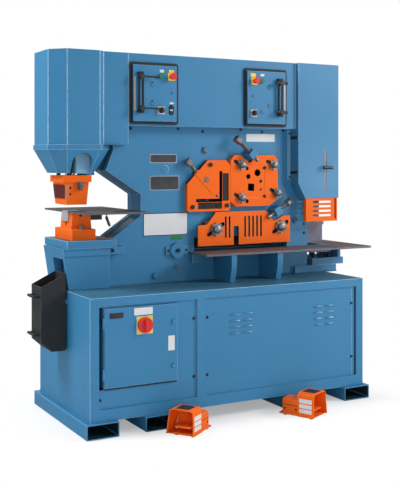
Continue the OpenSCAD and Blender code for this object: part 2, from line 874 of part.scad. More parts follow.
module hood_skirt() {
    band = octagon(grow([hood_left, skirt_right], band_out), grow(hood_y, band_out), hood_chamfer);
    hole = octagon(grow([hood_left, skirt_right], -sheet_t), grow(hood_y, -sheet_t), hood_chamfer);
    arch_r = (arch_x[1] - arch_x[0]) / 2;
    arch_mid = (arch_x[0] + arch_x[1]) / 2;
    machine(blue) difference() {
        union() {
            hopper(0);
            level(band, arm_z, arm_z + band_h);
        }
        difference() {
            hopper(-sheet_t);
            slab(hood_left, skirt_right, hood_y[0], hood_y[1], arm_z - sheet_t, arm_z);
        }
        level(octagon(grow(skirt_foot_x, -sheet_t), [cy - skirt_foot_d / 2 + sheet_t,
            cy + skirt_foot_d / 2 - sheet_t], skirt_foot_chamfer), skirt_foot_z - over,
                skirt_foot_z + 2 * sheet_t);
        level(hole, arm_z - 2 * sheet_t, arm_z + band_h + over);
        slab(arch_x[0], arch_x[1], hood_y[0] - over, hood_y[1] + over, skirt_foot_z - over,
            arch_top - arch_r);
        rod_y(arch_mid, arch_top - arch_r, hood_y[0] - over, hood_y[1] + over, 2 * arch_r);
        slab(skirt_foot_x[1] - 2 * sheet_t, skirt_right + column_d, front_y - gap, back_y + gap,
            skirt_foot_z - over, arm_z + band_h + over);
    }
}

cover_h = 420;
cover_z = machine_h - cover_h;
housing_lap = 131;
cover_right = frame_right - housing_lap;
module top_cover() {
    machine(blue) difference() {
        slab(hood_right, cover_right, cover_y, cover_back, cover_z, machine_h);
        slab(hood_right - over, cover_right + over, cover_y + sheet_t, cover_back - sheet_t,
            cover_z + sheet_t, machine_h - sheet_t);
        slab(hood_right - over, cover_right + over, front_y, back_y, cover_z - over, cover_z + 2 * sheet_t);
    }
}

// Notcher housing and the guard that slides in it
housing_x = cover_right;
housing_y = front_y - housing_out;
housing_back = back_y + housing_out;
housing_h = 863;
housing_z = machine_h - housing_h;
housing_right = housing_x + housing_w;
housing_cut = [53, 100];
guard_slot_x = 1758;
guard_slot_rise = [47, 312];
guard_slot = [guard_slot_x, housing_z + guard_slot_rise[0], housing_z + guard_slot_rise[1]];
guard_slot_wide = 10;
function housing_line(t) = [[housing_x + t, machine_h - t], [housing_x + t, housing_z + housing_cut[1]],
    [housing_x + housing_cut[0] + t, housing_z - t], [housing_right - t, housing_z - t],
    [housing_right - t, machine_h - t]];
module notcher_housing() {
    machine(blue) difference() {
        upright(housing_line(0), housing_y, housing_back);
        upright(housing_line(sheet_t), housing_y + sheet_t, housing_back - sheet_t);
        slab(housing_x - over, frame_right, front_y, back_y, housing_z - over, machine_h - sheet_t);
        slab(guard_slot[0] - guard_slot_wide / 2, guard_slot[0] + guard_slot_wide / 2, housing_y - over,
            housing_y + sheet_t + over, guard_slot[1], guard_slot[2]);
    }
}

shield_x = [1607, 1854];
shield_rise = 159;
shield_h = 476;
shield_z = [table_z + shield_rise, table_z + shield_rise + shield_h];
shield_t = 3;
shield_y = housing_y + sheet_t + gap;
shield_depth = 30;
shield_slot_x_shares = [0.22, 0.79];
shield_slot_z_shares = [0.0794, 0.1398, 0.2009, 0.2613];
shield_slot_h = 13;
shield_slit_x_shares = [0.91, 0.96];
handle_drop = 131;
handle_z = shield_z[1] - handle_drop;
handle_l = 68;
handle_d = 20;
handle_shaft_d = 8;
handle_out = 26;
module notcher_guard() {
    wide = shield_x[1] - shield_x[0];
    tall = shield_z[1] - shield_z[0];
    machine(orange) {
        difference() {
            slab(shield_x[0], shield_x[1], shield_y, shield_y + shield_depth, shield_z[0], shield_z[1]);
            slab(shield_x[0] + shield_t, shield_x[1] - shield_t, shield_y + shield_t,
                shield_y + shield_depth + over, shield_z[0] - over, shield_z[1] + over);
            for (share = shield_slot_z_shares) {
                z = shield_z[0] + share * tall;
                slab(shield_x[0] + shield_slot_x_shares[0] * wide,
                    shield_x[0] + shield_slot_x_shares[1] * wide,
                    shield_y - over, shield_y + shield_t + over, z - shield_slot_h / 2,
                        z + shield_slot_h / 2);
            }
            slab(shield_x[0] + shield_slit_x_shares[0] * wide, shield_x[0] + shield_slit_x_shares[1] * wide,
                shield_y - over, shield_y + shield_t + over, shield_z[0] + shield_slot_h, housing_z);
        }
        rod_y(guard_slot[0], handle_z, housing_y - handle_out, shield_y, handle_shaft_d);
        rod_x(housing_y - handle_out, handle_z, guard_slot[0] - handle_l / 2,
            guard_slot[0] + handle_l / 2, handle_d);
    }
}

// Shear beam with its blades, seen from the front
beam_clear = 3;
beam_y = [inner_front + beam_clear, inner_back - beam_clear];
hub_d = 170;
blade_h = 52;
beam_low = guard_z + blade_h / 2;
beam_top_share = 0.88;
beam_top = rod_z0 + beam_top_share * rod_h;
nose_x = 1748;
nose_rise = 193;
nose_h = 58;
nose_z = [table_z + nose_rise, table_z + nose_rise + nose_h];
beam_heel_x = 846;
beam_back_x = 810;
beam_end_x = guard_x + guard_w;
blade_t = 18;
function beam_outline() = [[pivot_x, pivot_z], [beam_heel_x, beam_low], [beam_end_x, beam_low],
    [frame_right - web_w, nose_z[0]], [nose_x, nose_z[0]], [nose_x, nose_z[1]], [frame_right - web_w,
        nose_z[1]],
    [rod_x0 + rod_w, beam_top], [beam_back_x, beam_top], [pivot_x - hub_d / 2, pivot_z + hub_d / 2]];
module shear_beam() {
    margin = window_margin / 2;
    machine(black) {
        difference() {
            union() {
                upright(beam_outline(), beam_y[0], beam_y[1]);
                rod_y(pivot_x, pivot_z, beam_y[0], beam_y[1], hub_d);
            }
            rod_y(pivot_x, pivot_z, beam_y[0] - over, beam_y[1] + over, pivot_d + 2 * fit);
            angle_slot(beam_y[0] - over, beam_y[1] + over, margin);
            rod_holes(beam_y[0] - over, beam_y[1] + over, margin);
        }
        slab(beam_heel_x + blade_t, beam_end_x, beam_y[0], beam_y[0] + blade_t, beam_low - blade_h / 2,
            beam_low);
    }
}

// Angle slot, with a margin round it
module angle_slot(y0, y1, margin) {
    slab(angle_slot_x - angle_slot_w - margin, angle_slot_x + margin, y0, y1, angle_slot_z - margin,
        angle_leg_z + margin);
    slab(angle_leg_x - margin, angle_slot_x + margin, y0, y1, angle_slot_z - margin,
        angle_slot_z + angle_slot_w + margin);
}

// Holes of the rod shear, with a margin round them
module rod_holes(y0, y1, margin) {
    for (s = rod_hole_shares) {
        rod_y(rod_x0 + s[0] * rod_w, rod_z0 + s[1] * rod_h, y0, y1, s[2] * rod_w + 2 * margin);
    }
    side = square_hole_shares[2] * rod_w + 2 * margin;
    translate([rod_x0 + square_hole_shares[0] * rod_w, 0, rod_z0 + square_hole_shares[1] * rod_h])
        rotate([0, square_turn, 0]) block(0, 0, side, side, y0, y1);
}

// Angle shear plate with its fixed blades
angle_outline_shares = [[0.04, 0], [0.96, 0], [1, 0.04], [1, 0.907], [0.9, 1], [0.472, 1], [0, 0.54], [0,
    0.04]];
side_blade_x_shares = [0.818, 0.966];
side_blade_z_shares = [0.2, 0.743];
flat_blade_x_shares = [0.244, 0.805];
flat_blade_z_shares = [0.045, 0.172];
tool_y = front_y - tool_plate_t;
hold_slope = 45;
hold_bar_w = 40;
hold_bar_t = 14;
hold_from_shares = [0.21, 0.768];
hold_l = 200;
hold_from = [angle_x + hold_from_shares[0] * angle_w, angle_z + hold_from_shares[1] * angle_h];
hold_travel = 50;
module angle_blades() {
    slab(angle_x + side_blade_x_shares[0] * angle_w, angle_x + side_blade_x_shares[1] * angle_w,
        tool_y + blade_t / 3, front_y, angle_z + side_blade_z_shares[0] * angle_h,
        angle_z + side_blade_z_shares[1] * angle_h);
    slab(angle_x + flat_blade_x_shares[0] * angle_w, angle_x + flat_blade_x_shares[1] * angle_w,
        tool_y + blade_t / 3, front_y, angle_z + flat_blade_z_shares[0] * angle_h,
        angle_z + flat_blade_z_shares[1] * angle_h);
}
module hold_bar(margin, back) {
    translate([hold_from[0], 0, hold_from[1]]) rotate([0, hold_slope, 0])
        slab(back, hold_l, tool_y - margin, tool_y + hold_bar_t, -hold_bar_w / 2 - margin,
            hold_bar_w / 2 + margin);
}
module angle_shear_plate() {
    machine(orange) difference() {
        upright(on_plate(angle_outline_shares, angle_x, angle_z, angle_w, angle_h), tool_y, front_y);
        angle_slot(tool_y - over, front_y + over, 0);
        translate([0, -blade_t, 0]) angle_blades();
        angle_blades();
        hold_bar(gap, -hold_travel - hold_bar_w);
    }
}

// Fixed blades: two of the angle shear and the flat bar shear's lower blade
module fixed_blades() {
    machine(black) {
        angle_blades();
        slab(guard_x, guard_x + guard_w, front_y, inner_front, table_z - table_t, table_z);
    }
}

// Rod shear plate
rod_outline_shares = [[0.115, 0], [0.81, 0], [1, 0.13], [1, 0.915], [0.92, 1], [0.56, 1], [0.4, 0.845],
    [0.2, 1], [0.075, 1], [0, 0.905], [0, 0.095]];
insert_step = 3;
module rod_shear_plate() {
    back = front_y - gap;
    machine(orange) difference() {
        upright(on_plate(rod_outline_shares, rod_x0, rod_z0, rod_w, rod_h), tool_y, back);
        rod_holes(tool_y - over, back + over, 0);
        for (p = rod_studs) {
            slot_y(p[0], p[1], rod_slot_turn, rod_slot_l, rod_slot_w, tool_y - over, back + over);
        }
        slab(rod_x0 + rod_insert_shares[0] * rod_w, rod_x0 + rod_insert_shares[1] * rod_w,
            tool_y - over, tool_y + insert_step, rod_z0 + rod_insert_shares[2] * rod_h,
                rod_z0 + rod_insert_shares[3] * rod_h);
    }
}

// Flat bar guard on two rails, so that it stands clear of the frame
guard_outline_shares = [[0, 0], [0.373, 0], [0.373, 0.56], [0.427, 0.56], [0.427, 0], [1, 0.015], [1, 0.83],
    [0.926, 0.83], [0.814, 0.67], [0.761, 0.86], [0.728, 1], [0.183, 1], [0.087, 0.63], [0, 0.62]];
guard_slit_w = 12;
guard_slit_x_shares = [0.287, 0.328, 0.496, 0.54, 0.583, 0.627, 0.671];
guard_slit_z_shares = [0.22, 0.86];
guard_off = 45;
guard_rail_h = 94;
guard_y = front_y - guard_off;
module flat_bar_guard() {
    machine(orange) {
        difference() {
            upright(on_plate(guard_outline_shares, guard_x, guard_z, guard_w, guard_h), guard_y,
                guard_y + guard_t);
            for (share = guard_slit_x_shares) {
                x = guard_x + share * guard_w;
                slab(x - guard_slit_w / 2, x + guard_slit_w / 2, guard_y - over, guard_y + guard_t + over,
                    guard_z + guard_slit_z_shares[0] * guard_h, guard_z + guard_slit_z_shares[1] * guard_h);
            }
            guard_slots();
        }
        difference() {
            for (p = guard_studs) {
                block(p[0], p[1], guard_slot_l, guard_rail_h, guard_y + guard_t, front_y - gap);
            }
            guard_slots();
        }
    }
}
module guard_slots() {
    for (p = guard_studs) {
        slot_y(p[0], p[1], guard_slot_turn, guard_slot_l, guard_slot_w, guard_y - over, front_y + over);
    }
}

// Star knobs, each on a stud that stays in the frame
knob_lobes = 8;
knob_t = 26;
knob_hub_share = 0.5;
knob_web_share = 0.78;
knob_lobe_share = 0.24;
module star_knob(at, d, seat) {
    front = seat - gap;
    reach = d * (1 - knob_lobe_share) / 2;
    machine(cast) difference() {
        union() {
            rod_y(at[0], at[1], front - knob_t / 2, front, d * knob_web_share);
            for (i = [0 : knob_lobes - 1]) {
                a = i * 360 / knob_lobes;
                rod_y(at[0] + reach * cos(a), at[1] + reach * sin(a), front - knob_t / 2, front,
                    d * knob_lobe_share);
            }
            rod_y(at[0], at[1], front - knob_t, front, d * knob_hub_share);
        }
        rod_y(at[0], at[1], front - knob_t / 2, front + over, knob_stud_d + 2 * fit);
    }
}
module knob_stud(at, seat) {
    rod_y(at[0], at[1], seat - knob_t / 2, front_y + knob_seat, knob_stud_d);
}

// Hold down screws: place of the head, slope, length under the head
screw_d = 24;
screw_head_d = 48;
screw_head_t = 26;
screw_off = 26;
screw_y = tool_y - screw_off;
block_w = 50;
block_l = 44;
block_t = 26;
upper_head_shares = [0.092, 1.302];
upper_head = [rod_x0 + upper_head_shares[0] * rod_w, rod_z0 + upper_head_shares[1] * rod_h];
upper_slope = 41;
upper_l = 198;
upper_block_at = 138;
lower_head_shares = [1.207, 0.079];
lower_head = [rod_x0 + lower_head_shares[0] * rod_w, rod_z0 + lower_head_shares[1] * rod_h];
lower_slope = 149;
lower_l = 190;
lower_block_at = 112;
angle_l = 92;
module along(from, slope) {
    translate([from[0], 0, from[1]]) rotate([0, slope, 0]) children();
}
module hold_screw(from, slope, length) {
    along(from, slope) {
        translate([0, screw_y, 0]) rotate([0, 90, 0]) cylinder(h = screw_head_t, d = screw_head_d, $fn = 6);
        rod_x(screw_y, 0, screw_head_t, length, screw_d);
    }
}
module hold_block(from, slope, at) {
    difference() {
        along(from, slope) slab(at - block_l / 2, at + block_l / 2, screw_y - block_t, front_y,
            -block_w / 2, block_w / 2);
        along(from, slope) rod_x(screw_y, 0, 0, at + block_l, screw_d + 2 * fit);
    }
}
// Angle hold down: a screw and the bar that it drives
module angle_hold_down() {
    machine(orange) {
        hold_bar(0, 0);
        along(hold_from, hold_slope) {
            rod_x(tool_y, 0, -angle_l + screw_head_t, 0, screw_d);
            translate([-angle_l, tool_y, 0]) rotate([0, 90, 0])
                cylinder(h = screw_head_t, d = screw_head_d, $fn = 6);
        }
    }
}

// Blocks of the hold down screws and the table's braces
brace_x = [[978, 1012], [1304, 1340]];
brace_back = [10, 33];
brace_front = [table_front + brace_back[0], table_front + brace_back[1]];
brace_bend = 88;
brace_bend_z = deck_z + brace_bend;
ledge_x = [814, 958];
ledge_t = 30;
ledge_h = 56;
module frame_brackets() {
    under = table_z - table_t;
    machine(blue) {
        hold_block(upper_head, upper_slope, upper_block_at);
        hold_block(lower_head, lower_slope, lower_block_at);
        for (x = brace_x) {
            translate([x[0], 0, 0]) rotate([90, 0, 90]) linear_extrude(x[1] - x[0]) polygon([
                [front_y, deck_z], [brace_front[1], deck_z], [brace_front[0], brace_bend_z],
                [brace_front[0], under], [front_y, under]]);
        }
        slab(ledge_x[0], ledge_x[1], front_y - ledge_t, front_y, under - ledge_h, under);
    }
}

// Pivot pin with its keeper
keeper_l = 150;
keeper_h = 50;
keeper_t = 10;
cap_d = 92;
cap_t = 10;
module pivot_pin() {
    machine(steel) {
        rod_y(pivot_x, pivot_z, front_y, back_y, pivot_d);
        rod_y(pivot_x, pivot_z, front_y - cap_t - keeper_t, front_y, cap_d);
        block(pivot_x, pivot_z, keeper_l, keeper_h, front_y - keeper_t, front_y);
    }
}

// Feed table, with the opening for the notcher's die
die_rim = 38;
notch_clear = 2;
notch_off = 5;
notch_x0 = frame_right + notch_off;
die_set_x = [frame_right + notch_off - notch_clear, notch_x0 + notch_w + die_rim];
die_set_d = notch_d + 2 * die_rim;
table_back = base_d + table_over;
module feed_table() {
    machine(steel) difference() {
        level([[table_left, table_front], [table_right, table_front], [table_right, table_back],
            [frame_right + over, table_back], [frame_right + over, front_y], [table_left, front_y]],
            table_z - table_t, table_z);
        slab(frame_right, die_set_x[1] + notch_clear, cy - die_set_d / 2 - notch_clear,
            cy + die_set_d / 2 + notch_clear, table_z - table_t - over, table_z + over);
    }
}

// Notcher: base blocks, die set, ram and blade
foot_lap = 112;
foot_reach = 213;
foot_x = [frame_right - foot_lap, frame_right + foot_reach];
foot_d = 250;
foot_h = 45;
seat_off = 25;
seat_w = 248;
seat_x = [frame_right + seat_off, frame_right + seat_off + seat_w];
seat_y = [cy - die_set_d / 2, cy + die_set_d / 2];
seat_h = 44;
jack_d = 22;
jack_x_shares = [0.1, 0.35, 0.6];
die_set_h = 46;
module notcher_die() {
    seat_z = deck_z + foot_h;
    rim_z = table_z - die_set_h;
    machine(blue) {
        difference() {
            slab(foot_x[0], foot_x[1], cy - foot_d / 2, cy + foot_d / 2, deck_z, seat_z);
            slab(foot_x[0] - over, frame_right, front_y, back_y, deck_z - over, seat_z + over);
        }
        slab(seat_x[0], seat_x[1], seat_y[0], seat_y[1], seat_z, seat_z + seat_h);
        difference() {
            slab(die_set_x[0], die_set_x[1], cy - die_set_d / 2, cy + die_set_d / 2, rim_z, table_z);
            slab(die_set_x[0] - over, notch_x0 + notch_w + notch_clear, cy - notch_d / 2 - notch_clear,
                cy + notch_d / 2 + notch_clear, rim_z - over, table_z + over);
        }
        for (share = jack_x_shares, side = [-1, 1]) {
            rod_z(seat_x[0] + share * (seat_x[1] - seat_x[0]) - jack_d / 4,
                cy + side * (die_set_d - die_rim) / 2, seat_z + seat_h, rim_z, jack_d);
        }
        slab(seat_x[1] - 2 * jack_d, seat_x[1] - jack_d, seat_y[0], seat_y[1], seat_z + seat_h,
            table_z - table_t);
    }
}

ram_block_w = 110;
ram_block_x = [frame_right + guide_t + gap, frame_right + guide_t + gap + ram_block_w];
ram_block_d = 120;
ram_block_h = 418;
ram_rise = 152;
ram_block_z = [table_z + ram_rise, table_z + ram_rise + ram_block_h];
holder_plate_h = 23;
holder_plate_x = [notch_x0, notch_x0 + notch_w + holder_plate_h / 2];
pocket_clear = 6;
pocket_end = 24;
pocket_x = nose_x + pocket_end;
pocket_wall = 10;
rod_bar_d = 60;
shear_barrel_d = 140;
shear_barrel_h = 390;
shear_barrel_z = [frame_top - top_web_h - shear_barrel_h, frame_top - top_web_h];
shear_axis = (ram_block_x[0] + ram_block_x[1]) / 2;
shear_piston_h = 50;
shear_bore_d = 100;
shear_piston_z = shear_barrel_z[1] - barrel_wall - shear_piston_h - over;
module notcher_ram() {
    front = cy - ram_block_d / 2;
    back = cy + ram_block_d / 2;
    machine(steel) {
        difference() {
            slab(ram_block_x[0], ram_block_x[1], front, back, ram_block_z[0], ram_block_z[1]);
            slab(ram_block_x[0] - over, pocket_x, front + pocket_wall, back - pocket_wall,
                nose_z[0] - pocket_clear, nose_z[1] + pocket_clear);
        }
        rod_z(shear_axis, cy, ram_block_z[1], shear_piston_z, rod_bar_d);
        rod_z(shear_axis, cy, shear_piston_z, shear_piston_z + shear_piston_h, shear_bore_d - 2 * gap);
    }
}
module notcher_blade() {
    front = cy - notch_d / 2;
    back = cy + notch_d / 2;
    machine(black) {
        slab(holder_plate_x[0], holder_plate_x[1], front, back, ram_block_z[0] - holder_plate_h,
            ram_block_z[0]);
        slab(notch_x0, notch_x0 + notch_w, front, back, ram_block_z[0] - holder_plate_h - notch_h,
            ram_block_z[0] - holder_plate_h);
    }
}
module shear_cylinder() {
    machine(blue) difference() {
        union() {
            rod_z(shear_axis, cy, shear_barrel_z[0], shear_barrel_z[1], shear_barrel_d);
            slab(frame_right - web_w, shear_axis, inner_front, inner_back, shear_barrel_z[0] + gland_h,
                shear_barrel_z[1]);
        }
        rod_z(shear_axis, cy, shear_barrel_z[0] + gland_h, shear_barrel_z[1] - barrel_wall, shear_bore_d);
        rod_z(shear_axis, cy, shear_barrel_z[0] - over, shear_barrel_z[0] + gland_h + over,
            rod_bar_d + 2 * fit);
    }
}

// Control boxes in the top cover
control_x = [382, 1152];
control_rise = 10;
control_z = cover_z + control_rise;
surround_r = 16;
surround_t = 10;
surround_rim = 17;
face_t = 3;
face_y = cover_y - control_out;
// Places on a face plate, as shares of the plate
estop_shares = [[0.87, 0.81], [0.17, 0.81]];
start_shares = [[0.62, 0.81], [0.36, 0.81]];
selector_shares = [[0.63, 0.2], [0.155, 0.2]];
bar_x_shares = [0.14, 0.83];
bar_z_shares = [0.145, 0.87];
stop_z_shares = [0.785, 0.225];
button_plate_w = 48;
button_plate_t = 2;
estop_t = 14;
estop_neck_d = 26;
estop_out = 38;
start_out = 16;
press = 6;
selector_out = 26;
button_shaft_d = 16;
button_reach = 8;
bar_w = 34;
bar_t = 8;
bar_slot_w = 12;
bar_feet = 14;
stop_d = 30;
stop_t = 20;
stop_lever_l = 112;
stop_lever_d = 11;
stop_grip_l = 76;
stop_grip_d = 19;
stop_stud_d = 10;
function face_x(side, share) = control_x[side] + surround_rim + share * (surround_w - 2 * surround_rim);
function face_z(share) = control_z + surround_rim + share * (surround_h - 2 * surround_rim);
module control_boxes() {
    machine(blue) for (side = [0, 1]) {
        difference() {
            slab(face_x(side, 0), face_x(side, 1), face_y, cover_y, face_z(0), face_z(1));
            slab(face_x(side, 0) + face_t, face_x(side, 1) - face_t, face_y + face_t, cover_y + over,
                face_z(0) + face_t, face_z(1) - face_t);
            for (s = [estop_shares[side], start_shares[side], selector_shares[side]]) {
                rod_y(face_x(side, s[0]), face_z(s[1]), face_y - over, cover_y, button_shaft_d + 2 * fit);
            }
        }
    }
}
module control_fittings() {
    machine(black) for (side = [0, 1]) {
        difference() {
            upright(round_rect(control_x[side], control_x[side] + surround_w, control_z,
                control_z + surround_h, surround_r), cover_y - surround_t, cover_y);
            slab(face_x(side, 0), face_x(side, 1), face_y, cover_y + over, face_z(0), face_z(1));
        }
        for (s = [estop_shares[side], selector_shares[side]]) {
            difference() {
                block(face_x(side, s[0]), face_z(s[1]), button_plate_w, button_plate_w,
                    face_y - button_plate_t, face_y);
                rod_y(face_x(side, s[0]), face_z(s[1]), face_y - 2 * over, face_y,
                    button_shaft_d + 2 * fit);
            }
        }
        stroke_bar(face_x(side, bar_x_shares[side]));
    }
}

// Slotted bar that carries the two stroke stops
module stroke_bar(x) {
    z0 = face_z(bar_z_shares[0]);
    z1 = face_z(bar_z_shares[1]);
    front = face_y - bar_feet - bar_t;
    difference() {
        slab(x - bar_w / 2, x + bar_w / 2, front, front + bar_t, z0, z1);
        slab(x - bar_slot_w / 2, x + bar_slot_w / 2, front - over, front + bar_t + over, z0 + bar_w / 2,
            z1 - bar_w / 2);
    }
    for (z = [z0, z1 - bar_feet]) slab(x - bar_w / 2, x + bar_w / 2, front + bar_t, face_y, z,
        z + bar_feet);
}

module estop(side) {
    x = face_x(side, estop_shares[side][0]);
    z = face_z(estop_shares[side][1]);
    machine("red") {
        rod_y(x, z, face_y - estop_out, face_y - estop_out + estop_t, estop_d);
        rod_y(x, z, face_y - estop_out + estop_t, face_y - press - button_plate_t - gap, estop_neck_d);
        rod_y(x, z, face_y - press - button_plate_t - gap, face_y + button_reach, button_shaft_d);
    }
}
module start_button(side) {
    x = face_x(side, start_shares[side][0]);
    z = face_z(start_shares[side][1]);
    machine("green") {
        rod_y(x, z, face_y - start_out, face_y - press - gap, start_d);
        rod_y(x, z, face_y - press - gap, face_y + button_reach, button_shaft_d);
    }
}
module selector(side) {
    x = face_x(side, selector_shares[side][0]);
    z = face_z(selector_shares[side][1]);
    front = face_y - button_plate_t - gap;
    machine(black) {
        rod_y(x, z, front - selector_out / 2, front, selector_d);
        block(x, z, selector_d / 3, selector_d, front - selector_out, front - selector_out / 2);
        rod_y(x, z, front, face_y + button_reach, button_shaft_d);
    }
}

// Stroke stop: a clamp hub with a lever or a grip, and a stud in the bar's slot
module stroke_stop(side, at) {
    x = face_x(side, bar_x_shares[side]);
    z = face_z(stop_z_shares[at]);
    seat = face_y - bar_feet - bar_t - gap;
    machine(black) {
        rod_y(x, z, seat - stop_t, seat, stop_d);
        rod_y(x, z, seat, seat + bar_t + 2 * gap, stop_stud_d);
        rod_y(x, z, seat + bar_t + 2 * gap, seat + bar_t + bar_feet / 2, bar_slot_w + stop_stud_d);
        if (side == 0) rod_x(seat - stop_t / 2, z, x, x + stop_lever_l, stop_lever_d);
        else rod_x(seat - stop_t / 2, z, x - stop_grip_l / 2, x + stop_grip_l / 2, stop_grip_d);
    }
}

// Slug bin that hangs on a rail at the base's left side
bin_drop = 329;
bin_rise_low = 30;
bin_rise_high = 99;
bin_foot_z = deck_z - bin_drop;
bin_rim_low = deck_z + bin_rise_low;
bin_rim_high = deck_z + bin_rise_high;
bin_bevel_w = 62;
bin_bevel_h = 56;
bin_back = -bin_rail_t - gap;
grip_d = 16;
grip_l = 110;
grip_drop_upper = 26;
grip_drop_lower = 235;
grip_z = [deck_z - grip_drop_upper, deck_z - grip_drop_lower];
module slug_bin() {
    y0 = bin_front;
    y1 = bin_front + bin_d;
    outer = [[-bin_out, bin_rim_low], [-bin_out, bin_foot_z + bin_bevel_h], [-bin_out + bin_bevel_w,
        bin_foot_z], [bin_back, bin_foot_z], [bin_back, bin_rim_high]];
    inner = [[-bin_out + bin_wall, bin_rim_high + over], [-bin_out + bin_wall, bin_foot_z + bin_bevel_h],
        [-bin_out + bin_bevel_w, bin_foot_z + bin_wall], [bin_back - bin_wall, bin_foot_z + bin_wall],
        [bin_back - bin_wall, bin_rim_high + over]];
    machine(black) {
        difference() {
            upright(outer, y0, y1);
            upright(inner, y0 + bin_wall, y1 - bin_wall);
        }
        slab(bin_back, -gap, y0, y1, bin_rail_z, bin_rail_z + bin_rail_h / 2);
        for (z = grip_z) bin_grip(z, (y0 + y1) / 2);
    }
}
module bin_grip(z, y) {
    x = -bin_out - bin_handle_out + grip_d / 2;
    translate([x, y - grip_l / 2, z]) rotate([-90, 0, 0]) cylinder(h = grip_l, d = grip_d);
    for (end = [-1, 1]) rod_x(y + end * (grip_l - grip_d) / 2, z, x, -bin_out, grip_d);
}

// Foot pedals: a guard over a treadle, with the switch housing behind. Each is drawn from its near
// front corner, with its length along x and its flared far wall towards y.
pedal_guard_l = 104;
pedal_wall = 5;
pedal_flare = 18;
pedal_round = 24;
pedal_foot_h = 6;
pedal_foot_d = 16;
pedal_base_t = 8;
pedal_base_w = 130;
pedal_tab_w = 46;
pedal_flange_l = 18;
pedal_lip = 10;
switch_w = 108;
switch_y = 12;
switch_h = 97;
switch_round = 22;
treadle_y = 24;
treadle_w = 92;
treadle_l = 78;
treadle_z = 46;
treadle_t = 8;
treadle_pin_d = 10;
treadle_ear = 9;
treadle_x = [pedal_guard_l - treadle_l - pedal_round / 2, pedal_guard_l - pedal_round / 2];
module pedal_place(side) {
    at = side == 0 ? pedal_left_at : pedal_right_at;
    turn = side == 0 ? pedal_left_turn : pedal_right_turn;
    translate([at[0], at[1], 0]) rotate([0, 0, turn]) mirror([0, side, 0]) children();
}
module across(points, x0, x1) {
    translate([x0, 0, 0]) rotate([90, 0, 90]) linear_extrude(x1 - x0) polygon(points);
}
function pedal_line(t) = concat([[pedal_w - t, pedal_foot_h - (t > 0 ? over : 0)]],
    arc([pedal_w - pedal_flare - pedal_round, pedal_h - pedal_round], pedal_round - t, 0),
    arc([pedal_round, pedal_h - pedal_round], pedal_round - t, 90),
    [[t, pedal_foot_h - (t > 0 ? over : 0)]]);
function switch_line() = concat(
    arc([switch_y + switch_w - switch_round, switch_h - switch_round], switch_round, 0),
    arc([switch_y + switch_round, switch_h - switch_round], switch_round, 90),
    [[switch_y, pedal_foot_h], [switch_y + switch_w, pedal_foot_h]]);
module pedal_body() {
    switch_end = pedal_l - pedal_flange_l;
    difference() {
        across(pedal_line(0), 0, pedal_guard_l);
        across(pedal_line(pedal_wall), -over, pedal_guard_l + over);
    }
    slab(pedal_lip, switch_end, pedal_wall, pedal_base_w, pedal_foot_h, pedal_foot_h + pedal_base_t);
    slab(pedal_lip, pedal_l, pedal_wall, pedal_tab_w, pedal_foot_h, pedal_foot_h + pedal_base_t);
    across(switch_line(), pedal_guard_l - pedal_wall, switch_end);
    for (x = [pedal_lip + pedal_foot_d, switch_end - pedal_foot_d], y = [pedal_foot_d,
        pedal_base_w - pedal_foot_d]) {
        rod_z(x, y, 0, pedal_foot_h, pedal_foot_d);
    }
    for (y = [treadle_y - treadle_ear - gap, treadle_y + treadle_w + gap]) {
        difference() {
            slab(treadle_x[1] - treadle_ear, treadle_x[1] + treadle_ear, y, y + treadle_ear,
                pedal_foot_h, treadle_z + treadle_ear);
            rod_y(treadle_x[1], treadle_z, y - over, y + treadle_ear + over, treadle_pin_d + 2 * fit);
        }
    }
}
module treadle(side) {
    machine(orange) pedal_place(side) {
        slab(treadle_x[0], treadle_x[1], treadle_y, treadle_y + treadle_w, treadle_z - treadle_t / 2,
            treadle_z + treadle_t / 2);
        rod_y(treadle_x[1], treadle_z, treadle_y - treadle_ear, treadle_y + treadle_w + treadle_ear,
            treadle_pin_d);
    }
}

// Bolts and nuts that hold the fixed tools
tool_bolt_d = 26;
tool_bolt_t = 8;
angle_bolt_shares = [[0.53, 0.907], [0.117, 0.09], [0.917, 0.106]];
holder_bolt_d = 30;
holder_bolt_in = 34;
holder_bolt_t = 22;
keeper_bolt_d = 24;
keeper_bolt_t = 9;
module fasteners() {
    machine(steel) {
        for (p = rod_studs) knob_stud(p, tool_y);
        for (p = guard_studs) knob_stud(p, guard_y);
        for (p = on_plate(angle_bolt_shares, angle_x, angle_z, angle_w, angle_h)) {
            rod_y(p[0], p[1], tool_y - tool_bolt_t, tool_y, tool_bolt_d);
        }
        for (y = [cy - holder_d / 2 + holder_bolt_in, cy + holder_d / 2 - holder_bolt_in]) {
            translate([(holder_x[0] + holder_x[1]) / 2, y, bolster_z + holder_flange_h])
                cylinder(h = holder_bolt_t, d = holder_bolt_d, $fn = 6);
        }
        rod_y(pivot_x, pivot_z, front_y - cap_t - keeper_t - keeper_bolt_t, front_y - cap_t - keeper_t,
            keeper_bolt_d);
        for (side = [-1, 1]) {
            rod_y(pivot_x + side * (keeper_l + cap_d) / 4, pivot_z, front_y - keeper_t - keeper_bolt_t,
                front_y - keeper_t, keeper_bolt_d / 2);
        }
        for (y = [cy - strip_d / 2 + post_d, cy + strip_d / 2 - post_d]) {
            rod_z(punch_x - nut_d / 2, y, strip_top[1], barrel_z[0], post_d);
        }
    }
}

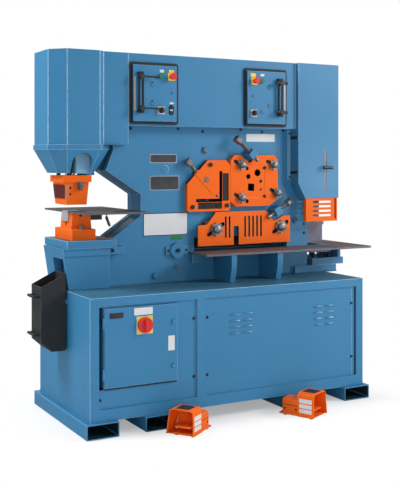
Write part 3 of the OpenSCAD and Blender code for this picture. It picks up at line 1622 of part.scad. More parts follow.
skid_tubes();
base_cabinet();
base_panels();
electrical_enclosure();
power_unit();
main_frame();
punch_support();
bolster_plate();
die_holder();
die();
punch_table();
stripper();
hydraulic_cylinders();
hood();
hood_skirt();
top_cover();
control_boxes();
control_fittings();
angle_shear_plate();
fixed_blades();
pivot_pin();
frame_brackets();
feed_table();
notcher_housing();
notcher_die();
machine(orange) for (side = [0,  // foot_pedals
    1]) pedal_place(side) pedal_body();
fasteners();
enclosure_door();
disconnect_dial();
door_latch(latch_shares[0]);  // door_latch_upper
door_latch(latch_shares[1]);  // door_latch_lower
punch_ram();
shear_beam();
notcher_ram();
notcher_blade();
estop(0);  // estop_left
estop(1);  // estop_right
start_button(0);  // start_left
start_button(1);  // start_right
selector(0);  // selector_left
selector(1);  // selector_right
treadle(0);  // treadle_left
treadle(1);  // treadle_right
rod_shear_plate();
flat_bar_guard();
notcher_guard();
slug_bin();
star_knob(rod_studs[0], small_knob_d, tool_y);  // rod_knob_upper_left
star_knob(rod_studs[1], small_knob_d, tool_y);  // rod_knob_upper_right
star_knob(rod_studs[2], small_knob_d, tool_y);  // rod_knob_lower_left
star_knob(rod_studs[3], small_knob_d, tool_y);  // rod_knob_lower_right
star_knob(guard_studs[0], large_knob_d, guard_y);  // guard_knob_left
star_knob(guard_studs[1], large_knob_d, guard_y);  // guard_knob_right
machine(steel) hold_screw(upper_head, upper_slope,  // upper_hold_screw
    upper_l);
machine(steel) hold_screw(lower_head, lower_slope,  // lower_hold_screw
    lower_l);
angle_hold_down();
stroke_stop(0, 0);  // stop_left_upper
stroke_stop(0, 1);  // stop_left_lower
stroke_stop(1, 0);  // stop_right_upper
stroke_stop(1, 1);  // stop_right_lower
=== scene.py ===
# %% [markdown]
# A hydraulic ironworker, dressed for a studio picture
#
# The machine is already built as plain solids with joints. This lesson gives those solids their real
# edges, paint and metal, and adds the small fittings that a solid model leaves out: screws, louvre hoods,
# weld beads, blank plates and pads. Every added piece rides on one of the machine's bodies.

import bmesh
import bpy
import json
import math
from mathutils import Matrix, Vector


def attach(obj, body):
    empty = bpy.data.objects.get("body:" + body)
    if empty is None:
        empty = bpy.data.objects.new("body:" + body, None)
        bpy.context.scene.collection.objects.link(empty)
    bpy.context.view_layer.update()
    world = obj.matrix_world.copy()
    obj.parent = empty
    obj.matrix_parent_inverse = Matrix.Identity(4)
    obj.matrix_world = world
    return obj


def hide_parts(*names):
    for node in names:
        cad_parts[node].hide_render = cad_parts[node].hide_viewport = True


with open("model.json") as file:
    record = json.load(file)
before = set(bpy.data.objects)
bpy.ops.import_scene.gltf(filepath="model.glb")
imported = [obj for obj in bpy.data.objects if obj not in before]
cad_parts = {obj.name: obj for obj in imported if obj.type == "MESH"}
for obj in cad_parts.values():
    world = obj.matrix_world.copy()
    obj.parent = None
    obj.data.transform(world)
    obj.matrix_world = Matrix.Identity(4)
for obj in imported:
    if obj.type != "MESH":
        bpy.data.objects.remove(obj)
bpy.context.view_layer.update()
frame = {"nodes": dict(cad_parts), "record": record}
scene = bpy.context.scene

# %% [markdown]
# The drawing counts millimetres from the base's front left corner, because that is how a fitter would
# measure the machine. The frame counts metres from the middle of the outline. One small helper turns the
# first into the second, so that each place below can be read as a tape measure would give it.

# %% From the drawing to the frame
DRAWING_MIDDLE = (915.5, 294.25)


def at(x, y, z):
    return Vector(((x - DRAWING_MIDDLE[0]) / 1000, (y - DRAWING_MIDDLE[1]) / 1000, z / 1000))


print("base corner", [round(c, 3) for c in at(0, 0, 0)])

# %% [markdown]
# The picture is taken from the front left at about eye height, with the lens kept level so that upright
# edges stay upright. A level lens would cut off the skids, so the film is shifted down a little. The lens
# length comes from a fit to the base's straight edges.

# %% Camera
FILM_MM, LENS_MM, FILM_SHIFT = 36, 68.38, -0.1654
EYE, LEVEL, YAW = (-2.7055, -4.76825, 1.455), 90, -28.66
eye = bpy.data.objects.new("studio_camera", bpy.data.cameras.new("studio_camera"))
eye.data.sensor_width = FILM_MM
eye.data.lens = LENS_MM
eye.data.shift_y = FILM_SHIFT
eye.location = EYE
eye.rotation_euler = (math.radians(LEVEL), 0, math.radians(YAW))
scene.collection.objects.link(eye)
scene.camera = eye
scene.view_settings.view_transform = "Standard"
print("camera", [round(c, 3) for c in eye.location])

# %% [markdown]
# The studio is a pale floor under large soft lamps. The floor shows almost white to the camera, so that the
# ground melts into the background as on a printed sheet, but part of it stays a plain matt surface, which
# keeps the shadow under the base. Steel and windows mirror the same pale room.


# %% Studio helpers
def node(tree, kind, ins=None, **props):
    made = tree.nodes.new(kind)
    for key, value in props.items():
        setattr(made, key, value)
    for key, value in (ins or {}).items():
        if isinstance(value, bpy.types.Node):
            value = value.outputs[0]
        if isinstance(value, bpy.types.NodeSocket):
            tree.links.new(value, made.inputs[key])
        else:
            made.inputs[key].default_value = value
    return made


def maths(tree, operation, a, b=0.0, clamp=False):
    return node(tree, "ShaderNodeMath", {0: a, 1: b}, operation=operation, use_clamp=clamp).outputs[0]


def times(tree, a, b, clamp=False):
    return maths(tree, "MULTIPLY", a, b, clamp)


def scaled(tree, low, mask, width):
    return maths(tree, "ADD", low, times(tree, mask, width))


def blend(tree, share, first, second):
    return node(tree, "ShaderNodeMix", {0: share, 6: first, 7: second}, data_type="RGBA").outputs[2]


def noise(tree, place, scale, detail, **more):
    ins = {"Vector": place, "Scale": scale, "Detail": detail, **more}
    return node(tree, "ShaderNodeTexNoise", ins).outputs[0]


def ramp(tree, value, *ends, **props):
    ins = {k + 1: end for k, end in enumerate(ends)}
    return node(tree, "ShaderNodeMapRange", {0: value, **ins}, **props).outputs[0]


def toned(tree, colour, value):
    return node(tree, "ShaderNodeHueSaturation", {"Color": colour, "Value": value}).outputs[0]


def blank_material(name):
    made = bpy.data.materials.new(name)
    made.use_nodes = True
    made.node_tree.nodes.clear()
    return made, made.node_tree


print("helpers ready")

# %% Floor and room
FLOOR_MIRRORED, FLOOR_TONE, FLOOR_TONE_MIRRORED = 0.08, (0.86, 0.86, 0.86, 1), (0.16, 0.16, 0.16, 1)
SHADE_MIDDLE, SHADE_HALF = (-0.015, 0.105), (0.90, 0.40)
SHADE_INNER, SHADE_OUTER, SHADE_GLOW = -0.15, 0.32, 0.34
FLOOR_CORNERS, FLOOR_DROP = [(-40, -40, 0), (40, -40, 0), (40, 60, 0), (-40, 60, 0)], 0.0005
ROOM_STRENGTH, ROOM_LESS_MIRRORED, ROOM_TINT = 0.32, 0.06, (0.90, 0.95, 1.0, 1)
WHITE = (1, 1, 1, 1)

floor_paint, tree = blank_material("studio_floor")
ray = node(tree, "ShaderNodeLightPath").outputs
seen = times(tree, ray["Is Glossy Ray"], FLOOR_MIRRORED)
seen = maths(tree, "MAXIMUM", ray["Is Camera Ray"], seen)
seen = maths(tree, "MAXIMUM", seen, ray["Is Transmission Ray"])
where = node(tree, "ShaderNodeSeparateXYZ", {0: node(tree, "ShaderNodeTexCoord").outputs["Object"]}).outputs
past = [maths(tree, "SUBTRACT", maths(tree, "ABSOLUTE", maths(tree, "SUBTRACT", where[k], SHADE_MIDDLE[k])),
              SHADE_HALF[k]) for k in range(2)]
clear = ramp(tree, maths(tree, "MAXIMUM", *past), SHADE_INNER, SHADE_OUTER, SHADE_GLOW, 1.0,
             interpolation_type="SMOOTHSTEP")
share = times(tree, seen, clear)
dulled = blend(tree, ray["Is Glossy Ray"], FLOOR_TONE, FLOOR_TONE_MIRRORED)
matt = node(tree, "ShaderNodeBsdfDiffuse", {"Color": dulled})
glow = node(tree, "ShaderNodeEmission", {"Color": WHITE, "Strength": 1.0})
both = node(tree, "ShaderNodeMixShader", {0: share, 1: matt, 2: glow})
node(tree, "ShaderNodeOutputMaterial", {"Surface": both})

floor_mesh = bpy.data.meshes.new("studio_floor")
floor_mesh.from_pydata(FLOOR_CORNERS, [], [(0, 1, 2, 3)])
floor = bpy.data.objects.new("studio_floor", floor_mesh)
floor.location.z = -FLOOR_DROP
floor_mesh.materials.append(floor_paint)
scene.collection.objects.link(floor)

room = bpy.data.worlds.new("studio_room")
room.use_nodes = True
tree = room.node_tree
tree.nodes.clear()
ray = node(tree, "ShaderNodeLightPath").outputs
mirrored = times(tree, ray["Is Glossy Ray"], ROOM_LESS_MIRRORED)
strength = maths(tree, "SUBTRACT", ROOM_STRENGTH, mirrored)
soft = node(tree, "ShaderNodeBackground", {"Color": ROOM_TINT, "Strength": strength})
bright = node(tree, "ShaderNodeBackground", {"Color": WHITE, "Strength": 1.0})
both = node(tree, "ShaderNodeMixShader", {0: ray["Is Camera Ray"], 1: soft, 2: bright})
node(tree, "ShaderNodeOutputWorld", {"Surface": both})
scene.world = room


def lamp(name, place, aim, size, watts):
    made = bpy.data.objects.new(name, bpy.data.lights.new(name, "AREA"))
    made.data.energy = watts
    made.data.size = size
    made.location = place
    made.rotation_euler = (Vector(aim) - Vector(place)).to_track_quat("-Z", "Y").to_euler()
    scene.collection.objects.link(made)


lamp("key_lamp", (5.6, -3.9, 4.4), (0.1, 0, 1.1), 2.2, 370)
lamp("sheen_lamp", (4.44, -4.9, 1.2), (0.8, 0, 1.3), 0.5, 34)
lamp("camera_lamp", (-2.6, -6.2, 1.7), (-0.3, 0, 1.1), 2.2, 75)
lamp("side_lamp", (-3.9, 0.9, 5.8), (-0.9, 0.2, 1.9), 1.8, 330)
lamp("left_lamp", (-4.6, 2.2, 1.5), (-0.8, 0.1, 1.4), 1.4, 34)
lamp("back_lamp", (2.0, 6.5, 4.5), (0, 0, 1.2), 3.0, 90)
lamp("rim_lamp", (6.2, 3.6, 1.5), (-0.6, 0, 1.5), 1.6, 70)

# %% [markdown]
# Sprayed machine enamel is never one flat colour. It has a slow drift in tone, a fine ripple like orange
# peel, a gloss that wanders a little, and a paler colour along edges. That paler colour is partly paint
# rubbed thin and partly a painted highlight. Metal has its grain and stains, and moulded plastic its pores
# and bloom. Each effect is one node group with its own inputs, and every material places the group with its
# own values. The paler edge colour reads a mark that the edge rounding below leaves on the mesh.


# %% Shared surface effects
COLOUR, VALUE, VECTOR = "NodeSocketColor", "NodeSocketFloat", "NodeSocketVector"
GREY = (0.5, 0.5, 0.5, 1)


def effect(name, inputs):
    made = bpy.data.node_groups.new(name, "ShaderNodeTree")
    for label, kind, value in inputs:
        made.interface.new_socket(label, in_out="INPUT", socket_type=kind).default_value = value
    for label, kind in (("Colour", COLOUR), ("Roughness", VALUE), ("Height", VALUE)):
        made.interface.new_socket(label, in_out="OUTPUT", socket_type=kind)
    given = made.nodes.new("NodeGroupInput").outputs
    return made, given, node(made, "ShaderNodeTexCoord").outputs["Object"]


def send(tree, colour, roughness, height):
    out = tree.nodes.new("NodeGroupOutput").inputs
    for label, value in (("Colour", colour), ("Roughness", roughness), ("Height", height)):
        tree.links.new(value, out[label])
    print("effect", tree.name, len(tree.nodes), "nodes")


enamel_film, given, place = effect("enamel_film", [
    ("Colour", COLOUR, GREY), ("Worn and highlight colour", COLOUR, (0.6, 0.6, 0.6, 1)), ("Drift", VALUE, 0.1),
    ("Ripple scale", VALUE, 240.0), ("Gloss low", VALUE, 0.28), ("Gloss spread", VALUE, 0.2),
    ("Rub and highlight", VALUE, 0.0)])
tree = enamel_film
slow = maths(tree, "SUBTRACT", noise(tree, place, 2.6, 4.0), 0.5)
speck = maths(tree, "SUBTRACT", noise(tree, place, 130.0, 2.0), 0.5)
tone = times(tree, slow, given["Drift"])
tone = scaled(tree, tone, speck, times(tree, given["Drift"], 0.9))
shade = toned(tree, given["Colour"], maths(tree, "ADD", tone, 1.0))
chip = noise(tree, place, 48.0, 6.0, Roughness=0.65)
# Rounded edges turn paler in patches: worn paint and painted highlight.
worn_and_highlight = times(tree, ramp(tree, chip, 0.36, 0.66, 0.30, 0.85), given["Rub and highlight"], clamp=True)
gloss = scaled(tree, given["Gloss low"], noise(tree, place, 16.0, 5.0), given["Gloss spread"])
ripple = noise(tree, place, given["Ripple scale"], 1.0)
send(tree, blend(tree, worn_and_highlight, shade, given["Worn and highlight colour"]), gloss, ripple)

# %% Metal grain
metal_grain, given, place = effect("metal_grain", [
    ("Colour", COLOUR, GREY), ("Stain", COLOUR, (0.2, 0.15, 0.1, 1)), ("Stain amount", VALUE, 0.3),
    ("Grain", VECTOR, (20.0, 300.0, 300.0)), ("Gloss low", VALUE, 0.25), ("Gloss spread", VALUE, 0.3)])
tree = metal_grain
turned = node(tree, "ShaderNodeVectorMath", {0: place, 1: given["Grain"]}, operation="MULTIPLY")
lines = noise(tree, turned, 1.0, 5.0)
oil = noise(tree, place, 7.0, 6.0, Roughness=0.6)
patch = times(tree, ramp(tree, oil, 0.42, 0.66, 0.0, 1.0), given["Stain amount"], clamp=True)
tint = toned(tree, given["Colour"], scaled(tree, 0.82, lines, 0.36))
gloss = scaled(tree, given["Gloss low"], lines, given["Gloss spread"])
send(tree, blend(tree, patch, tint, given["Stain"]), gloss, lines)

# %% Moulded grain
moulded_grain, given, place = effect("moulded_grain", [
    ("Colour", COLOUR, (0.1, 0.1, 0.1, 1)), ("Bloom", COLOUR, (0.3, 0.3, 0.3, 1)),
    ("Bloom amount", VALUE, 0.1), ("Grain scale", VALUE, 500.0), ("Gloss low", VALUE, 0.35),
    ("Gloss spread", VALUE, 0.25)])
tree = moulded_grain
cells = node(tree, "ShaderNodeTexVoronoi", {"Vector": place, "Scale": given["Grain scale"]})
haze = noise(tree, place, 18.0, 5.0)
film = times(tree, haze, given["Bloom amount"], clamp=True)
gloss = scaled(tree, given["Gloss low"], haze, given["Gloss spread"])
send(tree, blend(tree, film, given["Colour"], given["Bloom"]), gloss, cells.outputs["Distance"])

# %% [markdown]
# Each finish is one material made from an effect and a Principled shader. What is the same all over, such as
# the metal share or the coat, sits on the shader itself, and only what varies comes from the group. The blue
# and the orange are semi-gloss enamel, the bin is satin black, the tables are ground steel with oil stains,
# the blades are blackened, and the star knobs are cast aluminium.


# %% Finishes
def finish(name, kind, values, bump, depth, **shader):
    made, tree = blank_material(name)
    settings = {key.replace("_", " "): value for key, value in shader.items()}
    body = node(tree, "ShaderNodeBsdfPrincipled", settings)
    look = node(tree, "ShaderNodeGroup")
    look.node_tree = kind
    for key, value in values.items():
        look.inputs[key].default_value = value
    if kind == enamel_film:
        mark = node(tree, "ShaderNodeAttribute", attribute_name="rub_and_highlight", attribute_type="GEOMETRY")
        tree.links.new(mark.outputs["Fac"], look.inputs["Rub and highlight"])
    tree.links.new(look.outputs["Colour"], body.inputs["Base Color"])
    tree.links.new(look.outputs["Roughness"], body.inputs["Roughness"])
    bumps = {"Height": look.outputs["Height"], "Strength": bump, "Distance": depth}
    tree.links.new(node(tree, "ShaderNodeBump", bumps).outputs[0], body.inputs["Normal"])
    node(tree, "ShaderNodeOutputMaterial", {"Surface": body})
    return made


def enamel(name, colour, worn_and_highlight, drift=0.14, low=0.32, spread=0.2, coat=0.06, specular=0.40):
    values = {"Colour": colour + (1,), "Worn and highlight colour": worn_and_highlight + (1,), "Drift": drift, "Gloss low": low,
              "Gloss spread": spread}
    return finish(name, enamel_film, values, 0.10, 0.0006, Coat_Weight=coat, Coat_Roughness=0.18,
                  Specular_IOR_Level=specular)


def metal(name, colour, stain, amount, grain, low, spread, bump=0.12, metallic=1.0, specular=0.5):
    values = {"Colour": colour + (1,), "Stain": stain + (1,), "Stain amount": amount, "Grain": grain,
              "Gloss low": low, "Gloss spread": spread}
    return finish(name, metal_grain, values, bump, 0.0004, Metallic=metallic, Specular_IOR_Level=specular)


def moulded(name, colour, bloom, amount, scale, low, spread, bump=0.15):
    values = {"Colour": colour + (1,), "Bloom": bloom + (1,), "Bloom amount": amount, "Grain scale": scale,
              "Gloss low": low, "Gloss spread": spread}
    return finish(name, moulded_grain, values, bump, 0.0003)


# The paler blue on rounded edges is worn paint and painted highlight in one.
MACHINE_BLUE, WORN_AND_HIGHLIGHT_BLUE = (0.034, 0.192, 0.372), (0.36, 0.52, 0.66)
BLUE = enamel("blue_enamel", MACHINE_BLUE, WORN_AND_HIGHLIGHT_BLUE, drift=0.20)
EVEN = enamel("even_blue_enamel", MACHINE_BLUE, (0.12, 0.31, 0.49), drift=0.20)
GLOSS = enamel("pressed_blue_enamel", MACHINE_BLUE, WORN_AND_HIGHLIGHT_BLUE, low=0.26, spread=0.1, coat=0.2)
# The skid tubes' insides are painted near black, as painted shade inside the tubes.
SHADED_TUBE_INSIDE = enamel("painted_shade_tube_inside", (0.012, 0.036, 0.052), (0.05, 0.09, 0.12), drift=0.30)
# The deck's top is darker and greyer: partly dust, partly painted shade.
DUSTY_SHADED_DECK = enamel("dusty_and_shaded_deck_enamel", (0.036, 0.128, 0.200), (0.30, 0.45, 0.57), drift=0.30)
# A lighter blue that stands for lit paint: painted highlight on edge strips, a plug ring, joint strips and
# the arch's shroud.
PAINTED_HIGHLIGHT_BLUE = enamel("painted_highlight_blue_enamel", (0.16, 0.36, 0.54), (0.40, 0.55, 0.68))
ORANGE = enamel(
    "orange_enamel", (0.830, 0.125, 0.006), (0.92, 0.32, 0.08), drift=0.10, coat=0.0, specular=0.16)
# A brighter orange that stands as painted light on the guard, seen through a shaded slot.
PAINTED_LIGHT_ORANGE = enamel(
    "painted_light_orange_enamel", (1.0, 0.33, 0.05), (1.0, 0.40, 0.10), drift=0.05, coat=0.0, specular=0.10)
SATIN = enamel(
    "satin_black_enamel", (0.020, 0.021, 0.023), (0.10, 0.10, 0.105), drift=0.2, low=0.38, coat=0.0)

ALONG, UPWARD, EVENLY = (14, 330, 330), (60, 60, 400), (150, 150, 150)
BRIGHT = metal("machined_steel", (0.34, 0.335, 0.33), (0.30, 0.27, 0.24), 0.25, UPWARD, 0.22, 0.25)
GROUND = metal(
    "ground_table_steel", (0.150, 0.122, 0.118), (0.110, 0.066, 0.050), 0.75, ALONG, 0.42, 0.30,
    metallic=0.0, specular=0.12)
TABLE = metal(
    "punch_table_steel", (0.075, 0.066, 0.064), (0.050, 0.040, 0.036), 0.7, ALONG, 0.42, 0.30,
    metallic=0.0, specular=0.02)
TOOL = metal(
    "tool_steel", (0.155, 0.160, 0.215), (0.11, 0.10, 0.12), 0.5, (40, 40, 320), 0.30, 0.25, metallic=0.5)
DARK = metal(
    "blackened_steel", (0.022, 0.023, 0.026), (0.05, 0.042, 0.036), 0.4, (120, 120, 120), 0.28, 0.22,
    metallic=0.6)
CAST = metal(
    "knob_casting", (0.30, 0.29, 0.295), (0.19, 0.178, 0.178), 0.45, (170, 170, 170), 0.36, 0.25, bump=0.2)
HEAD = metal(
    "bolt_head_steel", (0.28, 0.262, 0.25), (0.14, 0.118, 0.10), 0.5, EVENLY, 0.28, 0.25, metallic=0.8)
NICKEL = metal(
    "ground_die_steel", (0.44, 0.44, 0.47), (0.30, 0.29, 0.30), 0.35, UPWARD, 0.30, 0.25, metallic=0.3)
ZINC = metal("zinc_plated_steel", (0.23, 0.226, 0.222), (0.30, 0.28, 0.24), 0.4, EVENLY, 0.26, 0.24)
PLATE = metal(
    "anodised_blank_plate", (0.055, 0.060, 0.070), (0.10, 0.10, 0.11), 0.5, (30, 300, 500), 0.3, 0.25,
    metallic=0.7)

PALE_PLATE = moulded("pale_blank_plate", (0.66, 0.67, 0.68), (0.52, 0.52, 0.53), 0.35, 700, 0.35, 0.2)
RUBBER = moulded(
    "surround_rubber", (0.008, 0.008, 0.009), (0.03, 0.03, 0.031), 0.25, 420, 0.55, 0.25, bump=0.25)
BLACK = moulded("handle_plastic", (0.016, 0.016, 0.018), (0.06, 0.06, 0.065), 0.25, 600, 0.28, 0.22)
RED = moulded("signal_red_plastic", (0.62, 0.012, 0.014), (0.75, 0.10, 0.09), 0.25, 650, 0.22, 0.22)
GREEN = moulded("signal_green_plastic", (0.008, 0.16, 0.055), (0.05, 0.25, 0.12), 0.25, 650, 0.24, 0.2)
YELLOW = moulded("yellow_plastic", (0.84, 0.56, 0.010), (0.88, 0.66, 0.12), 0.25, 700, 0.3, 0.22)
SILVER = moulded("silver_plastic", (0.52, 0.52, 0.53), (0.38, 0.38, 0.39), 0.35, 800, 0.3, 0.2)
CLEAR = moulded("clear_red_plate", (0.62, 0.16, 0.07), (0.70, 0.30, 0.20), 0.35, 900, 0.12, 0.12, bump=0.05)
WINDOW = moulded("red_window", (0.13, 0.012, 0.009), (0.24, 0.05, 0.04), 0.3, 900, 0.10, 0.12, bump=0.05)
WINDOW.node_tree.nodes["Principled BSDF"].inputs["Transmission Weight"].default_value = 0.35
print("finishes", len([m for m in bpy.data.materials if m.use_nodes]))

# %% [markdown]
# The hold-down screws are threaded along their whole shank. A thread of this size is only a fine ribbing in a
# picture, so it is drawn as ridges in the finish: a wave along the screw's axis, which each screw's material
# sets to its own slope. The wave paints the crests lighter and the grooves darker, as painted highlight and
# painted shade.

# %% Threads
UPPER_SLOPE, LOWER_SLOPE, ANGLE_SLOPE = 41, 149, 45
thread_lines, given, place = effect("thread_lines", [
    ("Axis", VECTOR, (1, 0, 0)), ("Pitch", VALUE, 0.003), ("Highlighted crest", COLOUR, (0.3, 0.3, 0.3, 1)),
    ("Shaded groove", COLOUR, (0.05, 0.05, 0.05, 1))])
tree = thread_lines
run = node(tree, "ShaderNodeVectorMath", {0: place, 1: given["Axis"]}, operation="DOT_PRODUCT")
turns = maths(tree, "DIVIDE", run.outputs["Value"], given["Pitch"])
turns = times(tree, turns, 2 * math.pi)
# Light crests and dark grooves are painted highlight and painted shade.
wave = maths(tree, "ADD", times(tree, maths(tree, "SINE", turns), 0.5), 0.5)
gloss = scaled(tree, 0.25, noise(tree, place, 60.0, 4.0), 0.3)
send(tree, blend(tree, wave, given["Shaded groove"], given["Highlighted crest"]), gloss, wave)


def threaded(name, slope):
    a = math.radians(slope)
    values = {"Axis": (math.cos(a), 0, -math.sin(a)), "Pitch": 0.0035, "Highlighted crest": (0.46, 0.45, 0.44, 1),
              "Shaded groove": (0.11, 0.107, 0.104, 1)}
    return finish(name, thread_lines, values, 0.6, 0.0010, Metallic=0.85)


UPPER_THREAD = threaded("upper_screw_thread", UPPER_SLOPE)
LOWER_THREAD = threaded("lower_screw_thread", LOWER_SLOPE)
ANGLE_THREAD = threaded("angle_screw_thread", ANGLE_SLOPE)

# %% [markdown]
# Every piece rides on the body that model.json gives for its solid.

# %% Bodies
body_of = {n: b for b, names in frame["record"]["behaviour"]["bodies"].items() for n in names}


def keep(made, body):
    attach(made, body)
    return made


# %% [markdown]
# Real plates have rounded or broken edges that catch the light, while the solids have mathematical corners.
# A copy of each visible solid gets its flat triangles joined into whole faces and its long sharp edges
# rounded, and then stands for the solid. Each rounded face is marked, and there the enamel paints its paler
# edge colour, which is worn paint and painted highlight in one.
# Short edges, such as those round a drilled hole, stay sharp, as a drill leaves them.


# %% Edge rounding
SHARP, SMOOTH, FLAT, SAME = math.radians(32), math.radians(40), math.radians(0.4), 2e-6


def plain_copy(name):
    work = bmesh.new()
    work.from_mesh(frame["nodes"][name].data)
    bmesh.ops.remove_doubles(work, verts=work.verts, dist=SAME)
    bmesh.ops.dissolve_limit(work, angle_limit=FLAT, verts=work.verts, edges=work.edges)
    return work


def round_edges(work, width, shortest, steps=2, pick=None):
    rub_and_highlight = work.faces.layers.int.get("rounded") or work.faces.layers.int.new("rounded")
    chosen = [e for e in work.edges if len(e.link_faces) == 2 and e.calc_length() > shortest
              and e.calc_face_angle(0) > SHARP and not any(f[rub_and_highlight] for f in e.link_faces)
              and (pick is None or pick(e))]
    if chosen:
        made = bmesh.ops.bevel(work, geom=chosen, offset=width, offset_type="OFFSET", segments=steps,
                               profile=0.5, affect="EDGES", clamp_overlap=False)
        for face in made["faces"]:
            face[rub_and_highlight] = 1


def islands(work):
    left, found = set(work.faces), []
    while left:
        heap, group = [left.pop()], []
        while heap:
            face = heap.pop()
            group.append(face)
            for edge in face.edges:
                for other in edge.link_faces:
                    if other in left:
                        left.discard(other)
                        heap.append(other)
        found.append(group)
    return found


def span(points):
    return [Vector([pick(p[k] for p in points) for k in range(3)]) for pick in (min, max)]


def node_span(name):
    return span([v.co for v in frame["nodes"][name].data.vertices])


def settle(name, work, materials):
    rub_and_highlight = work.faces.layers.int.get("rounded")
    mark = work.loops.layers.float.new("rub_and_highlight")
    for face in work.faces:
        face.smooth = True
        for loop in face.loops:
            loop[mark] = float(bool(rub_and_highlight and face[rub_and_highlight]))
    mesh = bpy.data.meshes.new(name)
    work.to_mesh(mesh)
    work.free()
    mesh.set_sharp_from_angle(angle=SMOOTH)
    for material in materials:
        mesh.materials.append(material)
    made = bpy.data.objects.new(name, mesh)
    scene.collection.objects.link(made)
    even = made.modifiers.new("even_normals", "WEIGHTED_NORMAL")
    even.keep_sharp = True
    return plain(made, name)


def plain(made, name):
    mesh = bpy.data.meshes.new_from_object(made.evaluated_get(bpy.context.evaluated_depsgraph_get()))
    mesh.name = name
    made.modifiers.clear()
    made.data = mesh
    return made


def dress(name, materials, passes, choose=None, by_face=None):
    work = plain_copy(name)
    if by_face:
        for face in work.faces:
            face.material_index = by_face(face.calc_center_median())
    if choose:
        for group in islands(work):
            pick = choose(*span([v.co for f in group for v in f.verts]))
            for face in group:
                face.material_index = pick
    for width, shortest, steps, pick in passes:
        round_edges(work, width, shortest, steps, pick)
    made = settle(name + "_dressed", work, materials)
    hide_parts(name)
    return keep(made, body_of[name])


print("edge rounding ready for", len(body_of), "solids")

# %% [markdown]
# The heavy plates get a broken edge of about two millimetres. Folded sheet gets a larger radius along its
# folds, because a press brake bends steel round a radius, and that is where the photograph shows bright
# lines. Thin rims get less than half their thickness. Where one solid has two finishes, a box in the
# drawing's millimetres says which faces get the second one.


# %% Plates, tubes and sheet metal
FAR = 9000


def within(low, high):
    a, b = at(*low), at(*high)
    return lambda c: int(all(a[k] < c[k] < b[k] for k in range(3)))


def layer(low, high=FAR):
    return within((-FAR, -FAR, low), (FAR, FAR, high))


def upright_edge(edge):
    line = edge.verts[0].co - edge.verts[1].co
    return abs(line.z) > 0.9 * line.length


in_bays = within((45, -FAR, 140), (1755, FAR, 693))


def outer_edge(edge):
    return not all(in_bays(v.co) for v in edge.verts)


SKID_LEFTS = (-28, 312, 1225, 1642)
in_skid = [within((left + 3, -23, 3), (left + 183, 821, 78)) for left in SKID_LEFTS]


def tube_inside(c):
    return max(inside(c) for inside in in_skid)


def broken(width, shortest):
    return [(width, shortest, 2, None)]


HEAVY, SHEET = broken(0.0022, 0.014), broken(0.0012, 0.012)
FOLDED = [(0.004, 0.20, 3, upright_edge)] + SHEET
# The deck's top faces take the darker deck enamel, which is dust and painted shade.
dress("base_cabinet", [BLUE, DUSTY_SHADED_DECK], [(0.0026, 0.03, 3, outer_edge)], by_face=layer(734.5))
# Faces inside the skid tubes get the painted shade.
dress("skid_tubes", [EVEN, SHADED_TUBE_INSIDE], [(0.0050, 0.40, 3, None)] + broken(0.0012, 0.05), by_face=tube_inside)
dress("punch_support", [EVEN], HEAVY)
for passes, names in (
        (SHEET, ("base_panels",)), (HEAVY, ("main_frame",)), (FOLDED, ("hood",)), (SHEET, ("hood_skirt",)),
        (FOLDED, ("top_cover", "notcher_housing")),
        (SHEET, ("control_boxes", "frame_brackets", "electrical_enclosure", "pivot_pin", "door_latch_upper",
                 "door_latch_lower"))):
    for name in names:
        dress(name, [BLUE], passes)
dress("bolster_plate", [BLUE, GROUND], HEAVY, by_face=layer(1009.5))
dress("notcher_die", [BLUE, DARK], HEAVY, by_face=within((-FAR, -FAR, 826), (1900, FAR, 862)))
print("blue pieces dressed")

# %% [markdown]
# The orange plates have holes whose walls are painted dark, as painted shade inside the holes. A wall is a
# face that lies away from the plate's outline and between its front and its back.


# %% Orange pieces
def shaded_hole_wall(name, inset, cut, rim=0.003):
    low, high = node_span(name)

    def inside(c):
        across = min(c.x - low.x, high.x - c.x)
        upward = min(c.z - low.z, high.z - c.z)
        wall = low.y + rim < c.y < high.y - rim
        return 1 if wall and min(across, upward) > inset and across + upward > cut else 0

    return inside


PRESSED = broken(0.0014, 0.010)
for name in ("die_holder", "foot_pedals"):
    dress(name, [ORANGE], PRESSED)
for name, inset, cut, passes in (
        ("rod_shear_plate", 0.010, 0.075, PRESSED), ("flat_bar_guard", 0.012, 0.060, PRESSED),
        ("angle_shear_plate", 0.012, 0.125, [])):
    dress(name, [ORANGE, DARK], passes, by_face=shaded_hole_wall(name, inset, cut))
WINDOW_TALLEST = 0.075
dress("stripper", [ORANGE, WINDOW], broken(0.0016, 0.012),
      lambda low, high: int((high - low).z < WINDOW_TALLEST))
print("orange pieces dressed")

# %% [markdown]
# Machined steel keeps finer edges than painted plate. A screw's shank gets its thread from where its head
# ends, measured along the screw.

# %% Steel pieces
KNOBS = ("rod_knob_upper_left", "rod_knob_upper_right", "rod_knob_lower_left", "rod_knob_lower_right",
         "guard_knob_left", "guard_knob_right")
TURNED = broken(0.0012, 0.010)
for name, material in (("die", NICKEL), ("punch_ram", BRIGHT), ("shear_beam", DARK), ("notcher_ram", TOOL),
                       ("notcher_blade", TOOL), ("fixed_blades", DARK)):
    dress(name, [material], TURNED)
for name, material, low, high in (
        ("feed_table", GROUND, 897.5, 909.5), ("punch_table", TABLE, 1162.5, 1171.5)):
    dress(name, [material, TOOL], TURNED, by_face=layer(low, high))
for name, material in (("slug_bin", SATIN), ("power_unit", DARK), ("hydraulic_cylinders", BLUE)):
    dress(name, [material], broken(0.0008, 0.03))
for name in KNOBS:
    dress(name, [CAST], broken(0.0014, 0.002))


def along(start, slope):
    a = math.radians(slope)
    return lambda c: (c.x - start.x) * math.cos(a) - (c.z - start.z) * math.sin(a)


